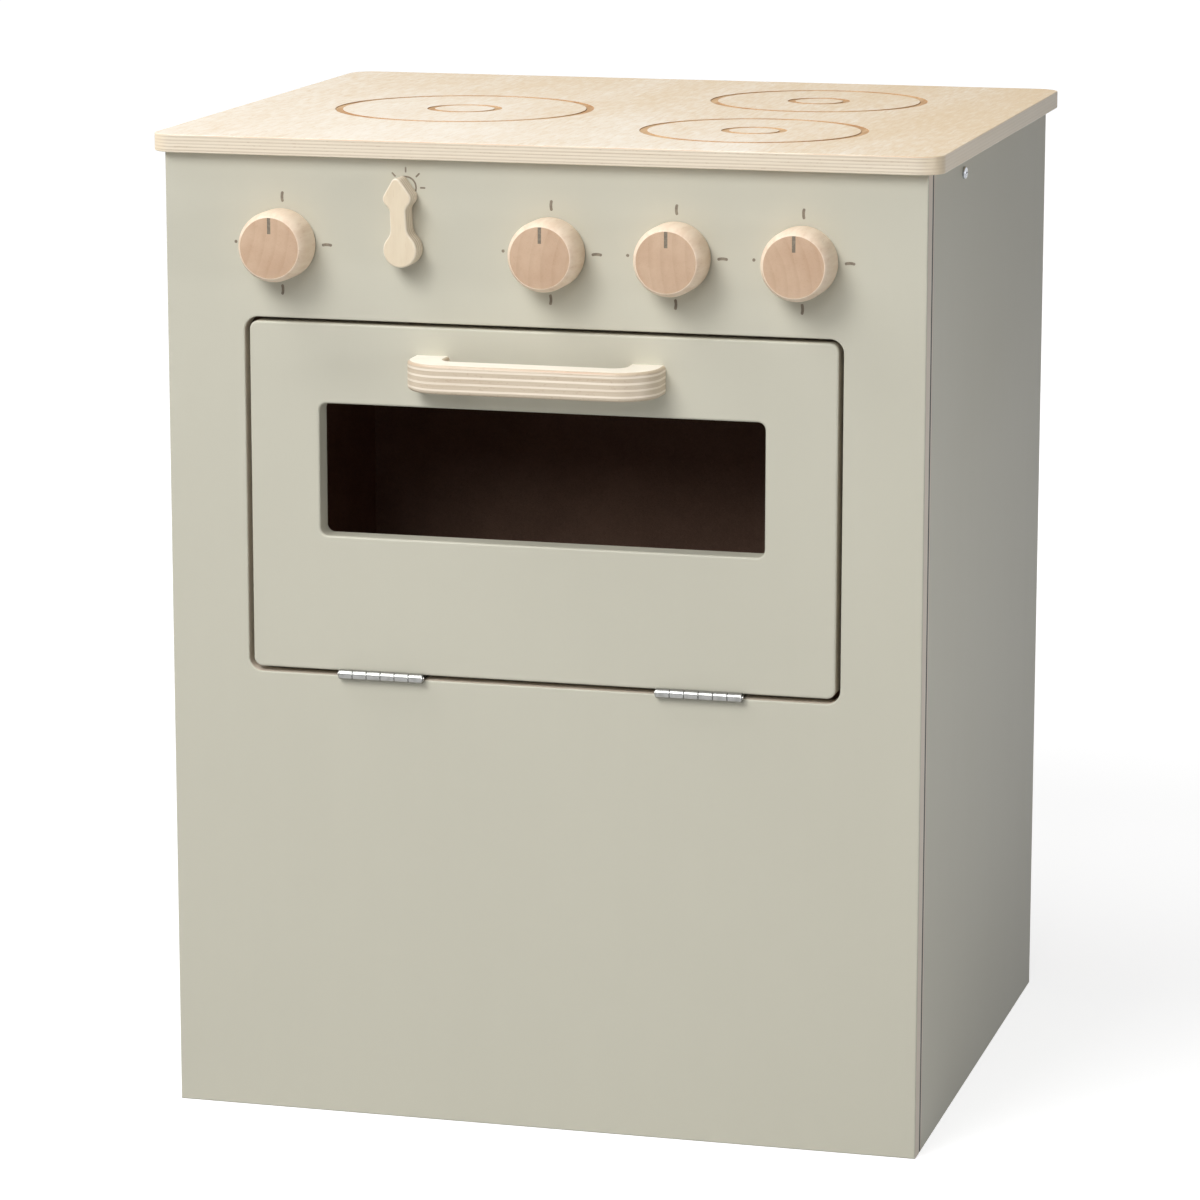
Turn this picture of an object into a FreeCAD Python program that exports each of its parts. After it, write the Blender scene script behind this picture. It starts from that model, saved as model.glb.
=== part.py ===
import FreeCAD, Part
import math
import os
from collections import namedtuple

from FreeCAD import Placement, Rotation, Vector

# A wooden toy stove: a painted carcass with a plywood worktop, an oven behind a drop-down door,
# four turned knobs and a small light switch lever.
# Millimetres. +Z up, +X to the right of someone facing the door, +Y towards the back.
# The origin is on the floor, under the middle of the whole object's box.

# Carcass
body_width = 386.0
body_depth = 328.0
body_height = 491.0
front_thickness = 12.0
side_thickness = 12.0
base_thickness = 12.0
base_lift = 12.0
back_thickness = 6.0
back_inset = 6.0
back_side_play = 0.2
panel_edge_round = 0.8
joint_edge_round = 1.3

# Worktop
worktop_thickness = 9.0
overhang_side = 7.0
overhang_front = 6.0
overhang_back = 6.0
worktop_corner_radius = 13.0
worktop_edge_round = 0.6

# Engraved hob rings, each an outer and an inner groove
ring_width = 4.0
ring_depth = 0.4
large_ring_radius = 67.3
large_inner_radius = 19.5
small_ring_radius = 57.3
small_inner_radius = 16.5
large_ring_side_margin = 50.0
large_ring_front_margin = 91.0
small_ring_side_margin = 55.7
front_ring_margin = 36.0
rear_ring_margin = 39.0

# Rails under the worktop
rail_section = 18.0
front_rail_setback = 80.0
worktop_screw_margin = 60.0
back_screw_margin = 30.0

# Oven
opening_width = 305.0
opening_height = 180.5
opening_drop = 81.25
opening_corner_radius = 7.0
shelf_thickness = 9.0
oven_wall_thickness = 6.0
oven_side_clearance = 9.5
oven_ceiling_clearance = 2.0
oven_depth = 231.0

# Door
gap_side = 2.5
gap_top = 2.0
gap_bottom = 2.5
door_edge_round = 1.2
window_width = 228.0
window_height = 67.0
window_drop = 40.25
window_corner_radius = 4.0

# Door handle
handle_width = 128.0
handle_reach = 30.0
handle_thickness = 14.5
handle_bar = 16.0
handle_foot = 18.0
handle_corner_radius = 21.0
handle_inner_radius = 6.0
handle_drop = 21.25
handle_edge_round = 1.8

# Hinges
hinge_length = 44.0
hinge_offset = 82.0
hinge_screw_offset = 12.0
knuckle_count = 6
knuckle_gap = 0.12
knuckle_chamfer = 0.3
barrel_radius = 2.5
barrel_clearance = 0.2
leaf_gap = 0.5
leaf_setback = 1.0
leaf_barrel_clearance = 0.3
hinge_pin_radius = 1.2
hinge_pin_reach = 0.5

# Knobs and light switch
control_drop = 44.0
knob_side_margin = 61.0
knob_pitch = 63.0
knob_reach = 21.0
knob_base_radius = 17.6
knob_face_radius = 15.3
knob_face_round = 0.6
knob_shoulder_depth = 7.0
knob_back_round = 0.8
knob_socket_depth = 13.0
knob_dowel_radius = 4.0
knob_washer_radius = 10.0
switch_offset = 64.6
switch_reach = 13.0
switch_lean = 3.0
switch_disc_radius = 8.5
switch_waist = 4.1
switch_waist_height = 11.0
switch_waist_top = 18.5
switch_shoulder = 7.2
switch_shoulder_height = 25.3
switch_shoulder_radius = 4.0
switch_tip_height = 35.4
switch_tip_radius = 2.6
switch_edge_round = 1.0
switch_socket_depth = 8.0
switch_dowel_radius = 3.0
switch_washer_radius = 7.0
control_gap = 0.6
control_play = 0.3
washer_thickness = 1.2

# Magnetic catch
catch_width = 52.0
catch_depth = 20.0
catch_height = 14.0
catch_front_gap = 0.4
catch_screw_offset = 21.0
catch_screw_recess = 3.4
magnet_width = 30.0
magnet_depth = 15.0
magnet_height = 7.0
magnet_gap = 0.1
strike_width = 32.0
strike_height = 9.0
strike_thickness = 1.2
strike_screw_offset = 11.0

# Dowels inside the carcass
dowel_radius = 2.5
dowel_in_face = 8.0
dowel_in_end = 22.0
front_dowel_margin = 60.0
shelf_dowel_setback = 48.0

# Fits
running_clearance = 0.05
seat_clearance = 0.02

# Screws: radius of the shank, length under the head, radius and height of the head
Screw = namedtuple("Screw", "shank length head height")
side_screw = Screw(1.8, 40.0, 3.1, 1.7)
worktop_screw = Screw(1.6, 23.0, 3.2, 1.8)
back_screw = Screw(1.5, 16.0, 3.2, 1.9)
handle_screw = Screw(2.0, 28.0, 3.8, 2.0)
hinge_screw = Screw(1.2, 11.0, 2.2, 1.0)
knob_screw = Screw(1.5, 18.0, 3.2, 2.0)
switch_screw = Screw(1.2, 14.0, 2.6, 1.6)
catch_screw = Screw(1.4, 14.0, 2.8, 1.6)
strike_screw = Screw(1.0, 8.0, 1.9, 0.9)
recess_share = 0.55
recess_width = 0.7
recess_depth_share = 0.5
head_round_share = 0.6

# Places worked out from the sizes above
front_reach = max(handle_reach, knob_reach, switch_reach, overhang_front)
front_y = (front_reach - body_depth - overhang_back) / 2
panel_back_y = front_y + front_thickness
rear_y = front_y + body_depth
back_panel_y = rear_y - back_inset - back_thickness
half_width = body_width / 2
inner_half = half_width - side_thickness
control_z = body_height - control_drop
opening_top = body_height - opening_drop
opening_bottom = opening_top - opening_height
oven_floor_z = opening_bottom - shelf_thickness
oven_ceiling_z = opening_top + oven_ceiling_clearance
oven_half = opening_width / 2 + oven_side_clearance
oven_back_y = panel_back_y + oven_depth
door_half = opening_width / 2 - gap_side
door_top = opening_top - gap_top
door_bottom = opening_bottom + gap_bottom
door_corner_radius = opening_corner_radius - gap_side
handle_z = door_top - handle_drop
handle_screw_x = (handle_width - handle_foot) / 2
rail_z = body_height - rail_section
front_rail_y = front_y + front_rail_setback
rear_rail_y = back_panel_y - rail_section
hinge_z = opening_bottom + gap_bottom / 2
hinge_y = front_y - math.sqrt((barrel_radius + barrel_clearance) ** 2 - (gap_bottom / 2) ** 2)
hinge_screw_y = front_y + front_thickness / 2
leaf_thickness = (gap_bottom - leaf_gap) / 2
right_knob_x = half_width - knob_side_margin
knob_places = {
    "oven_knob": -right_knob_x,
    "left_hob_knob": right_knob_x - 2 * knob_pitch,
    "middle_hob_knob": right_knob_x - knob_pitch,
    "right_hob_knob": right_knob_x,
}
switch_x = -right_knob_x + switch_offset
strike_z = door_top - strike_height / 2 - panel_edge_round
catch_y = panel_back_y + strike_thickness + catch_front_gap
catch_z = oven_ceiling_z - catch_height

same_place = 1e-4
parallel = 0.999
AXIS_X = Vector(1, 0, 0)
AXIS_Y = Vector(0, 1, 0)
AXIS_Z = Vector(0, 0, 1)


# Shape helpers

def board(x0, x1, y0, y1, z0, z1):
    """A plain board between two corners."""
    return Part.makeBox(x1 - x0, y1 - y0, z1 - z0, Vector(x0, y0, z0))


def edges_along(edges, axis):
    """Those of some edges that are straight and run along an axis."""
    straight = [edge for edge in edges if isinstance(edge.Curve, Part.Line)]
    return [edge for edge in straight if abs(edge.tangentAt(edge.FirstParameter).dot(axis)) > parallel]


def lies_at(edge, name, value):
    """Whether an edge lies wholly in the plane where one coordinate, X, Y or Z, has a value."""
    low = getattr(edge.BoundBox, name + "Min")
    high = getattr(edge.BoundBox, name + "Max")
    return abs(low - value) < same_place and abs(high - value) < same_place


def edges_at(shape, name, value):
    """The edges of a shape that lie in the plane where one coordinate has a value."""
    return [edge for edge in shape.Edges if lies_at(edge, name, value)]


def placed(shape, seat, direction):
    """A shape made along +Z at the origin, moved to a seat and turned to point in a direction."""
    copy = shape.copy()
    copy.Placement = Placement(seat, Rotation(AXIS_Z, direction))
    return copy


def without(shape, cutters):
    """A shape with every cutter taken out of it."""
    return shape.cut(cutters) if cutters else shape


# Fasteners

def cross_recess(screw, top, height):
    """The cross cut in a screw head, whose flat or crown is at the given height on the screw's axis."""
    reach = screw.head * recess_share
    depth = height * recess_depth_share
    half = recess_width / 2
    return [
        board(-reach, reach, -half, half, top, top + depth),
        board(-half, half, -reach, reach, top, top + depth),
    ]


def round_screw(screw, seat, direction):
    """A screw whose domed head stands on its seat, with the shank going along the direction."""
    head = Part.makeCylinder(screw.head, screw.height, Vector(0, 0, -screw.height))
    head = head.makeFillet(screw.height * head_round_share, edges_at(head, "Z", -screw.height))
    shank = Part.makeCylinder(screw.shank, screw.length)
    solid = without(head.fuse(shank).removeSplitter(), cross_recess(screw, -screw.height, screw.height))
    return placed(solid, seat, direction)


def flat_screw(screw, seat, direction):
    """A countersunk screw whose head is flush with its seat."""
    head = Part.makeCone(screw.head, screw.shank, screw.height)
    shank = Part.makeCylinder(screw.shank, screw.length)
    solid = without(head.fuse(shank).removeSplitter(), cross_recess(screw, 0, screw.height))
    return placed(solid, seat, direction)


def round_hole(screw, seat, direction):
    """The straight hole for a domed screw's shank."""
    hole = Part.makeCylinder(screw.shank + seat_clearance, screw.length + seat_clearance)
    return placed(hole, seat, direction)


def flat_hole(screw, seat, direction):
    """The countersunk hole for a flat screw."""
    cone = Part.makeCone(screw.head + seat_clearance, screw.shank + seat_clearance, screw.height)
    bore = Part.makeCylinder(screw.shank + seat_clearance, screw.length + seat_clearance)
    return placed(cone.fuse(bore).removeSplitter(), seat, direction)


def dowel(radius, start, direction, length):
    """A plain wooden dowel."""
    return Part.makeCylinder(radius, length, start, direction)


# Places of the fasteners

def side_screw_seats():
    """Seat and direction of the screw through each side panel into the end of the front rail."""
    y = front_rail_y + rail_section / 2
    z = rail_z + rail_section / 2
    return [(Vector(side * half_width, y, z), Vector(-side, 0, 0)) for side in (-1, 1)]


def worktop_screw_seats():
    """Seats of the screws that go up through the two rails into the worktop."""
    x = inner_half - worktop_screw_margin
    rows = (front_rail_y + rail_section / 2, rear_rail_y + rail_section / 2)
    return [(Vector(side * x, y, rail_z), AXIS_Z) for y in rows for side in (-1, 1)]


def back_screw_seats():
    """Seats of the screws through the back panel into the rear rail, the shelves and the base."""
    heights = (
        base_lift + base_thickness / 2,
        oven_floor_z + shelf_thickness / 2,
        rail_z + rail_section / 2,
    )
    y = back_panel_y + back_thickness
    outer_x = inner_half - back_screw_margin
    return [(Vector(x, y, z), -AXIS_Y) for z in heights for x in (-outer_x, 0, outer_x)]


def handle_screw_seats():
    """Seats of the screws from the back of the door into the feet of the handle."""
    return [(Vector(side * handle_screw_x, panel_back_y, handle_z), -AXIS_Y) for side in (-1, 1)]


def hinge_screw_xs(hinge_x):
    """The two places along a hinge where its leaves are screwed down."""
    return [hinge_x + side * hinge_screw_offset for side in (-1, 1)]


def door_leaf_screw_seats(hinge_x):
    """Seats of the screws up through a moving leaf into the bottom edge of the door."""
    z = hinge_z + leaf_gap / 2
    return [(Vector(x, hinge_screw_y, z), AXIS_Z) for x in hinge_screw_xs(hinge_x)]


def panel_leaf_screw_seats(hinge_x):
    """Seats of the screws down through a fixed leaf into the edge of the opening."""
    z = hinge_z - leaf_gap / 2
    return [(Vector(x, hinge_screw_y, z), -AXIS_Z) for x in hinge_screw_xs(hinge_x)]


def catch_screw_seats():
    """Seats of the screws up through the catch into the ceiling of the oven."""
    y = catch_y + catch_depth / 2
    z = catch_z + catch_screw_recess
    return [(Vector(side * catch_screw_offset, y, z), AXIS_Z) for side in (-1, 1)]


def strike_screw_seats():
    """Seats of the screws through the strike plate into the back of the door."""
    y = panel_back_y + strike_thickness
    return [(Vector(side * strike_screw_offset, y, strike_z), -AXIS_Y) for side in (-1, 1)]


def front_dowel_starts():
    """Front ends of the dowels that join the front panel to the side panels."""
    heights = (front_dowel_margin, body_height / 2, body_height - front_dowel_margin)
    x = half_width - side_thickness / 2
    y = panel_back_y - dowel_in_face
    return [Vector(side * x, y, z) for side in (-1, 1) for z in heights]


def shelf_dowel_starts(side):
    """Outer ends of the dowels that join the base and the oven shelves to one side panel."""
    heights = (
        base_lift + base_thickness / 2,
        oven_floor_z + shelf_thickness / 2,
        oven_ceiling_z + shelf_thickness / 2,
    )
    rows = (panel_back_y + shelf_dowel_setback, back_panel_y - shelf_dowel_setback)
    x = side * (inner_half + dowel_in_face)
    return [Vector(x, y, z) for z in heights for y in rows]


def front_dowel(start, radius):
    """One dowel, or its hole, between the front panel and a side panel."""
    return dowel(radius, start, AXIS_Y, dowel_in_face + dowel_in_end)


def shelf_dowel(start, radius, side):
    """One dowel, or its hole, between a shelf and a side panel."""
    return dowel(radius, start, Vector(-side, 0, 0), dowel_in_face + dowel_in_end)


def dowel_holes(side):
    """All the shelf dowel holes of one side."""
    return [shelf_dowel(start, dowel_radius + seat_clearance, side) for start in shelf_dowel_starts(side)]


def all_front_dowels(radius):
    """All the dowels, or their holes, behind the front panel."""
    return [front_dowel(start, radius) for start in front_dowel_starts()]


# Carcass

def control_bore(x, dowel_size):
    """The hole through the front panel that a control's dowel turns in."""
    start = Vector(x, front_y, control_z)
    return Part.makeCylinder(dowel_size + running_clearance, front_thickness, start, AXIS_Y)


def front_panel():
    """The painted front with the oven's opening, the control holes and the hinge screw holes."""
    panel = board(-half_width, half_width, front_y, panel_back_y, 0, body_height)
    joint_edges = edges_along(edges_at(panel, "Y", panel_back_y), AXIS_Z)
    panel = panel.makeFillet(joint_edge_round, joint_edges)
    half = opening_width / 2
    opening = board(-half, half, front_y, panel_back_y, opening_bottom, opening_top)
    opening = opening.makeFillet(opening_corner_radius, edges_along(opening.Edges, AXIS_Y))
    panel = panel.cut(opening)
    panel = panel.makeFillet(panel_edge_round, edges_at(panel, "Y", front_y))
    bores = [control_bore(x, knob_dowel_radius) for x in knob_places.values()]
    bores.append(control_bore(switch_x, switch_dowel_radius))
    for hinge_x in (-hinge_offset, hinge_offset):
        bores += [flat_hole(hinge_screw, *seat) for seat in panel_leaf_screw_seats(hinge_x)]
    return without(panel, bores + all_front_dowels(dowel_radius + seat_clearance))


def side_panel(side):
    """A painted side, behind the front panel, with the hole for the rail's screw."""
    low, high = sorted((side * inner_half, side * half_width))
    panel = board(low, high, panel_back_y, rear_y, 0, body_height)
    outer_edges = edges_along(edges_at(panel, "X", side * half_width), AXIS_Z)
    panel = panel.makeFillet(joint_edge_round, outer_edges)
    holes = [round_hole(side_screw, *seat) for seat in side_screw_seats()]
    return without(panel, holes + dowel_holes(side) + all_front_dowels(dowel_radius + seat_clearance))


def back_panel():
    """The thin back, set in between the sides."""
    half = inner_half - back_side_play / 2
    panel = board(-half, half, back_panel_y, back_panel_y + back_thickness, 0, body_height)
    return without(panel, [round_hole(back_screw, *seat) for seat in back_screw_seats()])


def shelf(z, thickness):
    """A board across the whole carcass, at a height: the base, or the oven's floor or ceiling."""
    plate = board(-inner_half, inner_half, panel_back_y, back_panel_y, z, z + thickness)
    holes = [round_hole(back_screw, *seat) for seat in back_screw_seats()]
    holes += [round_hole(catch_screw, *seat) for seat in catch_screw_seats()]
    return without(plate, holes + dowel_holes(-1) + dowel_holes(1))


def top_rail(y):
    """A batten across the carcass under the worktop, with its front face at y."""
    rail = board(-inner_half, inner_half, y, y + rail_section, rail_z, body_height)
    holes = [round_hole(side_screw, *seat) for seat in side_screw_seats()]
    holes += [round_hole(back_screw, *seat) for seat in back_screw_seats()]
    return without(rail, holes + [flat_hole(worktop_screw, *seat) for seat in worktop_screw_seats()])


def ring_groove(x, y, radius):
    """One engraved circle in the worktop, given its outer radius."""
    bottom = Vector(x, y, body_height + worktop_thickness - ring_depth)
    return Part.makeCylinder(radius, ring_depth, bottom).cut(
        Part.makeCylinder(radius - ring_width, ring_depth, bottom)
    )


def worktop():
    """The plywood worktop with rounded corners and the engraved hob rings."""
    half = half_width + overhang_side
    front = front_y - overhang_front
    rear = rear_y + overhang_back
    top = body_height + worktop_thickness
    plate = board(-half, half, front, rear, body_height, top)
    plate = plate.makeFillet(worktop_corner_radius, edges_along(plate.Edges, AXIS_Z))
    outline = edges_at(plate, "Z", body_height) + edges_at(plate, "Z", top)
    plate = plate.makeFillet(worktop_edge_round, outline)
    large_x = -half + large_ring_side_margin + large_ring_radius
    large_y = front + large_ring_front_margin + large_ring_radius
    small_x = half - small_ring_side_margin - small_ring_radius
    hobs = [
        (large_x, large_y, large_ring_radius, large_inner_radius),
        (small_x, front + front_ring_margin + small_ring_radius, small_ring_radius, small_inner_radius),
        (small_x, rear - rear_ring_margin - small_ring_radius, small_ring_radius, small_inner_radius),
    ]
    grooves = [ring_groove(x, y, radius) for x, y, outer, inner in hobs for radius in (outer, inner)]
    return without(plate, grooves + [flat_hole(worktop_screw, *seat) for seat in worktop_screw_seats()])


# Oven box

def oven_side_wall(side):
    """A lining board beside the oven, between its floor and its ceiling."""
    low, high = sorted((side * oven_half, side * (oven_half + oven_wall_thickness)))
    rear = oven_back_y + oven_wall_thickness
    return board(low, high, panel_back_y, rear, opening_bottom, oven_ceiling_z)


def oven_back_wall():
    """The lining board at the back of the oven, between the two side walls."""
    rear = oven_back_y + oven_wall_thickness
    return board(-oven_half, oven_half, oven_back_y, rear, opening_bottom, oven_ceiling_z)


# Door

def oven_door():
    """The painted drop-down door with its window hole."""
    door = board(-door_half, door_half, front_y, panel_back_y, door_bottom, door_top)
    door = door.makeFillet(door_corner_radius, edges_along(door.Edges, AXIS_Y))
    window_top = door_top - window_drop
    half = window_width / 2
    window = board(-half, half, front_y, panel_back_y, window_top - window_height, window_top)
    window = window.makeFillet(window_corner_radius, edges_along(window.Edges, AXIS_Y))
    door = door.cut(window)
    door = door.makeFillet(door_edge_round, edges_at(door, "Y", front_y))
    holes = [flat_hole(handle_screw, *seat) for seat in handle_screw_seats()]
    holes += [flat_hole(strike_screw, *seat) for seat in strike_screw_seats()]
    for hinge_x in (-hinge_offset, hinge_offset):
        holes += [flat_hole(hinge_screw, *seat) for seat in door_leaf_screw_seats(hinge_x)]
    return without(door, holes)


def quarter(centre, radius, start_angle):
    """A quarter circle in the XY plane, anticlockwise from an angle in degrees."""
    points = []
    for step in range(3):
        angle = math.radians(start_angle + 45 * step)
        points.append(centre + Vector(radius * math.cos(angle), radius * math.sin(angle), 0))
    return Part.Arc(*points).toShape()


def door_handle():
    """The plywood handle, a bar with a foot at each end, cut as a bracket seen from above."""
    z = handle_z - handle_thickness / 2
    half = handle_width / 2
    inner = half - handle_foot
    front = front_y - handle_reach
    inside = front + handle_bar
    outer_x = half - handle_corner_radius
    outer_y = front + handle_corner_radius
    inner_x = inner - handle_inner_radius
    inner_y = inside + handle_inner_radius
    edges = [
        Part.makeLine(Vector(-half, front_y, z), Vector(-half, outer_y, z)),
        quarter(Vector(-outer_x, outer_y, z), handle_corner_radius, 180),
        Part.makeLine(Vector(-outer_x, front, z), Vector(outer_x, front, z)),
        quarter(Vector(outer_x, outer_y, z), handle_corner_radius, 270),
        Part.makeLine(Vector(half, outer_y, z), Vector(half, front_y, z)),
        Part.makeLine(Vector(half, front_y, z), Vector(inner, front_y, z)),
        Part.makeLine(Vector(inner, front_y, z), Vector(inner, inner_y, z)),
        quarter(Vector(inner_x, inner_y, z), handle_inner_radius, 270),
        Part.makeLine(Vector(inner_x, inside, z), Vector(-inner_x, inside, z)),
        quarter(Vector(-inner_x, inner_y, z), handle_inner_radius, 180),
        Part.makeLine(Vector(-inner, inner_y, z), Vector(-inner, front_y, z)),
        Part.makeLine(Vector(-inner, front_y, z), Vector(-half, front_y, z)),
    ]
    outline = Part.Wire(Part.__sortEdges__(edges))
    bar = Part.Face(outline).extrude(Vector(0, 0, handle_thickness))
    rims = edges_at(bar, "Z", z) + edges_at(bar, "Z", z + handle_thickness)
    free_rims = [edge for edge in rims if not lies_at(edge, "Y", front_y)]
    bar = bar.makeFillet(handle_edge_round, free_rims)
    return without(bar, [flat_hole(handle_screw, *seat) for seat in handle_screw_seats()])


# Hinges

def hinge_leaf(hinge_x, moving):
    """One leaf of a butt hinge with its share of the knuckles, along X."""
    pitch = hinge_length / knuckle_count
    bore = hinge_pin_radius + (running_clearance if moving else seat_clearance)
    first = hinge_x - hinge_length / 2
    plate_y = hinge_y + barrel_radius + leaf_barrel_clearance
    plate_end = panel_back_y - leaf_setback
    low = leaf_gap / 2 if moving else -leaf_gap / 2 - leaf_thickness
    z = hinge_z + low
    leaf = board(first, first + hinge_length, plate_y, plate_end, z, z + leaf_thickness)
    root_y = hinge_y + (bore + barrel_radius) / 2
    for number in range(0 if moving else 1, knuckle_count, 2):
        x0 = first + number * pitch + knuckle_gap / 2
        x1 = first + (number + 1) * pitch - knuckle_gap / 2
        tube = Part.makeCylinder(barrel_radius, x1 - x0, Vector(x0, hinge_y, hinge_z), AXIS_X)
        tube = tube.makeChamfer(knuckle_chamfer, edges_at(tube, "X", x0) + edges_at(tube, "X", x1))
        tube = tube.cut(Part.makeCylinder(bore, x1 - x0, Vector(x0, hinge_y, hinge_z), AXIS_X))
        leaf = leaf.fuse([tube, board(x0, x1, root_y, plate_y, z, z + leaf_thickness)])
    seats = door_leaf_screw_seats(hinge_x) if moving else panel_leaf_screw_seats(hinge_x)
    return without(leaf.removeSplitter(), [flat_hole(hinge_screw, *seat) for seat in seats])


def hinge_pin(hinge_x):
    """The pin of a hinge, a little longer than the barrel."""
    start = Vector(hinge_x - hinge_length / 2 - hinge_pin_reach, hinge_y, hinge_z)
    return Part.makeCylinder(hinge_pin_radius, hinge_length + 2 * hinge_pin_reach, start, AXIS_X)


# Magnetic catch

def magnet(clearance):
    """The catch's magnet, or with a clearance the pocket that holds it."""
    half = magnet_width / 2 + clearance
    y = panel_back_y + strike_thickness + magnet_gap
    middle = catch_z + catch_height / 2
    reach = magnet_height / 2 + clearance
    return board(-half, half, y, y + magnet_depth + clearance, middle - reach, middle + reach)


def catch_housing():
    """The catch's plastic block under the oven's ceiling, with a pocket for the magnet."""
    half = catch_width / 2
    block = board(-half, half, catch_y, catch_y + catch_depth, catch_z, oven_ceiling_z)
    block = block.makeFillet(panel_edge_round, edges_along(block.Edges, AXIS_Z))
    cutters = [magnet(seat_clearance)]
    for seat, direction in catch_screw_seats():
        cutters.append(round_hole(catch_screw, seat, direction))
        recess_radius = catch_screw.head + seat_clearance
        cutters.append(Part.makeCylinder(recess_radius, catch_screw_recess, seat, -AXIS_Z))
    return without(block, cutters)


def strike_plate():
    """The steel plate on the back of the door that the magnet holds."""
    half = strike_width / 2
    low = strike_z - strike_height / 2
    plate = board(-half, half, panel_back_y, panel_back_y + strike_thickness, low, low + strike_height)
    plate = plate.makeFillet(panel_edge_round, edges_along(plate.Edges, AXIS_Y))
    return without(plate, [flat_hole(strike_screw, *seat) for seat in strike_screw_seats()])


# Controls

def control_dowel(x, radius, socket_depth):
    """A control's dowel, or its socket, from inside the grip to behind the front panel."""
    start = Vector(x, front_y - control_gap - socket_depth, control_z)
    return dowel(radius, start, AXIS_Y, control_gap + socket_depth + front_thickness + control_play)


def control_hardware(name, x, radius, socket_depth, washer_radius, screw):
    """The dowel, retaining washer and screw behind a knob or a lever, by node name."""
    end_y = panel_back_y + control_play
    seat = Vector(x, end_y + washer_thickness, control_z)
    hole = round_hole(screw, seat, -AXIS_Y)
    washer = Part.makeCylinder(washer_radius, washer_thickness, Vector(x, end_y, control_z), AXIS_Y)
    return {
        name + "_dowel": control_dowel(x, radius, socket_depth).cut(hole),
        name + "_washer": washer.cut(hole),
        name + "_screw": round_screw(screw, seat, -AXIS_Y),
    }


def knob(x):
    """A turned knob with a flat face, a long rounded shoulder behind it and a straight side."""
    back = Vector(x, front_y - control_gap, control_z)
    front = Vector(x, front_y - knob_reach, control_z)
    flare = knob_base_radius - knob_face_radius
    bend = (flare ** 2 + knob_shoulder_depth ** 2) / (2 * flare)
    rim = front + AXIS_X * knob_face_radius
    shoulder = front + Vector(knob_base_radius, knob_shoulder_depth, 0)
    foot = back + AXIS_X * knob_base_radius
    outline = Part.Wire([
        Part.makeLine(front, rim),
        bulge(shoulder - AXIS_X * bend, bend, rim, shoulder),
        Part.makeLine(shoulder, foot),
        Part.makeLine(foot, back),
        Part.makeLine(back, front),
    ])
    solid = Part.Face(outline).revolve(front, AXIS_Y, 360)
    solid = solid.makeFillet(knob_face_round, edges_at(solid, "Y", front.y))
    solid = solid.makeFillet(knob_back_round, edges_at(solid, "Y", back.y))
    return solid.cut(control_dowel(x, knob_dowel_radius + seat_clearance, knob_socket_depth))


def towards(centre, radius, target):
    """The point of a circle in the XZ plane that lies towards a target."""
    way = target - centre
    way.normalize()
    return centre + way * radius


def bulge(centre, radius, start, end):
    """The shorter arc of a circle between two of its points."""
    return Part.Arc(start, towards(centre, radius, (start + end) * 0.5), end).toShape()


def outer_tangent(centre_a, radius_a, centre_b, radius_b):
    """The ends of the straight line that touches two circles on their right, from a to b."""
    way = centre_b - centre_a
    turn = math.asin((radius_a - radius_b) / way.Length)
    slope = math.atan2(way.z, way.x)
    angle = slope - math.pi / 2 + turn
    normal = Vector(math.cos(angle), 0, math.sin(angle))
    return centre_a + normal * radius_a, centre_b + normal * radius_b


def switch_half_outline(pivot):
    """The right half of the lever's outline, as edges, with its lowest and highest points."""
    rise = switch_waist_height
    disc = switch_disc_radius
    lower_radius = (switch_waist ** 2 + rise ** 2 - disc ** 2) / (2 * (disc - switch_waist))
    climb = switch_shoulder_height - switch_waist_top
    step = switch_shoulder - switch_waist
    upper_radius = (step ** 2 + climb ** 2) / (2 * step) - switch_shoulder_radius
    waist = pivot + Vector(switch_waist, 0, rise)
    waist_top = pivot + Vector(switch_waist, 0, switch_waist_top)
    lower_centre = waist + Vector(lower_radius, 0, 0)
    upper_centre = waist_top + Vector(upper_radius, 0, 0)
    shoulder_centre = pivot + Vector(switch_shoulder - switch_shoulder_radius, 0, switch_shoulder_height)
    tip_centre = pivot + Vector(0, 0, switch_tip_height - switch_tip_radius)
    on_disc = towards(pivot, disc, lower_centre)
    on_shoulder = towards(shoulder_centre, switch_shoulder_radius, upper_centre)
    line_start, line_end = outer_tangent(
        shoulder_centre, switch_shoulder_radius, tip_centre, switch_tip_radius
    )
    edges = [
        bulge(lower_centre, lower_radius, on_disc, waist),
        Part.makeLine(waist, waist_top),
        bulge(upper_centre, upper_radius, waist_top, on_shoulder),
        bulge(shoulder_centre, switch_shoulder_radius, on_shoulder, line_start),
        Part.makeLine(line_start, line_end),
    ]
    return edges, on_disc, line_end


def light_switch_lever():
    """The lever: a disc on its pivot, a slim waist and a pointed head, leaning a little to one side."""
    back = front_y - control_gap
    pivot = Vector(switch_x, back, control_z)
    half, low, high = switch_half_outline(pivot)
    low_mirrored = Vector(2 * pivot.x - low.x, back, low.z)
    high_mirrored = Vector(2 * pivot.x - high.x, back, high.z)
    edges = half + [edge.mirror(pivot, AXIS_X) for edge in half]
    edges.append(Part.Arc(low, pivot - AXIS_Z * switch_disc_radius, low_mirrored).toShape())
    edges.append(Part.Arc(high, pivot + AXIS_Z * switch_tip_height, high_mirrored).toShape())
    outline = Part.Wire(Part.__sortEdges__(edges))
    lever = Part.Face(outline).extrude(Vector(0, control_gap - switch_reach, 0))
    rims = edges_at(lever, "Y", front_y - switch_reach) + edges_at(lever, "Y", back)
    lever = lever.makeFillet(switch_edge_round, rims)
    lever = lever.cut(control_dowel(switch_x, switch_dowel_radius + seat_clearance, switch_socket_depth))
    lever.rotate(pivot, AXIS_Y, -switch_lean)
    return lever


# Assembly

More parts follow.
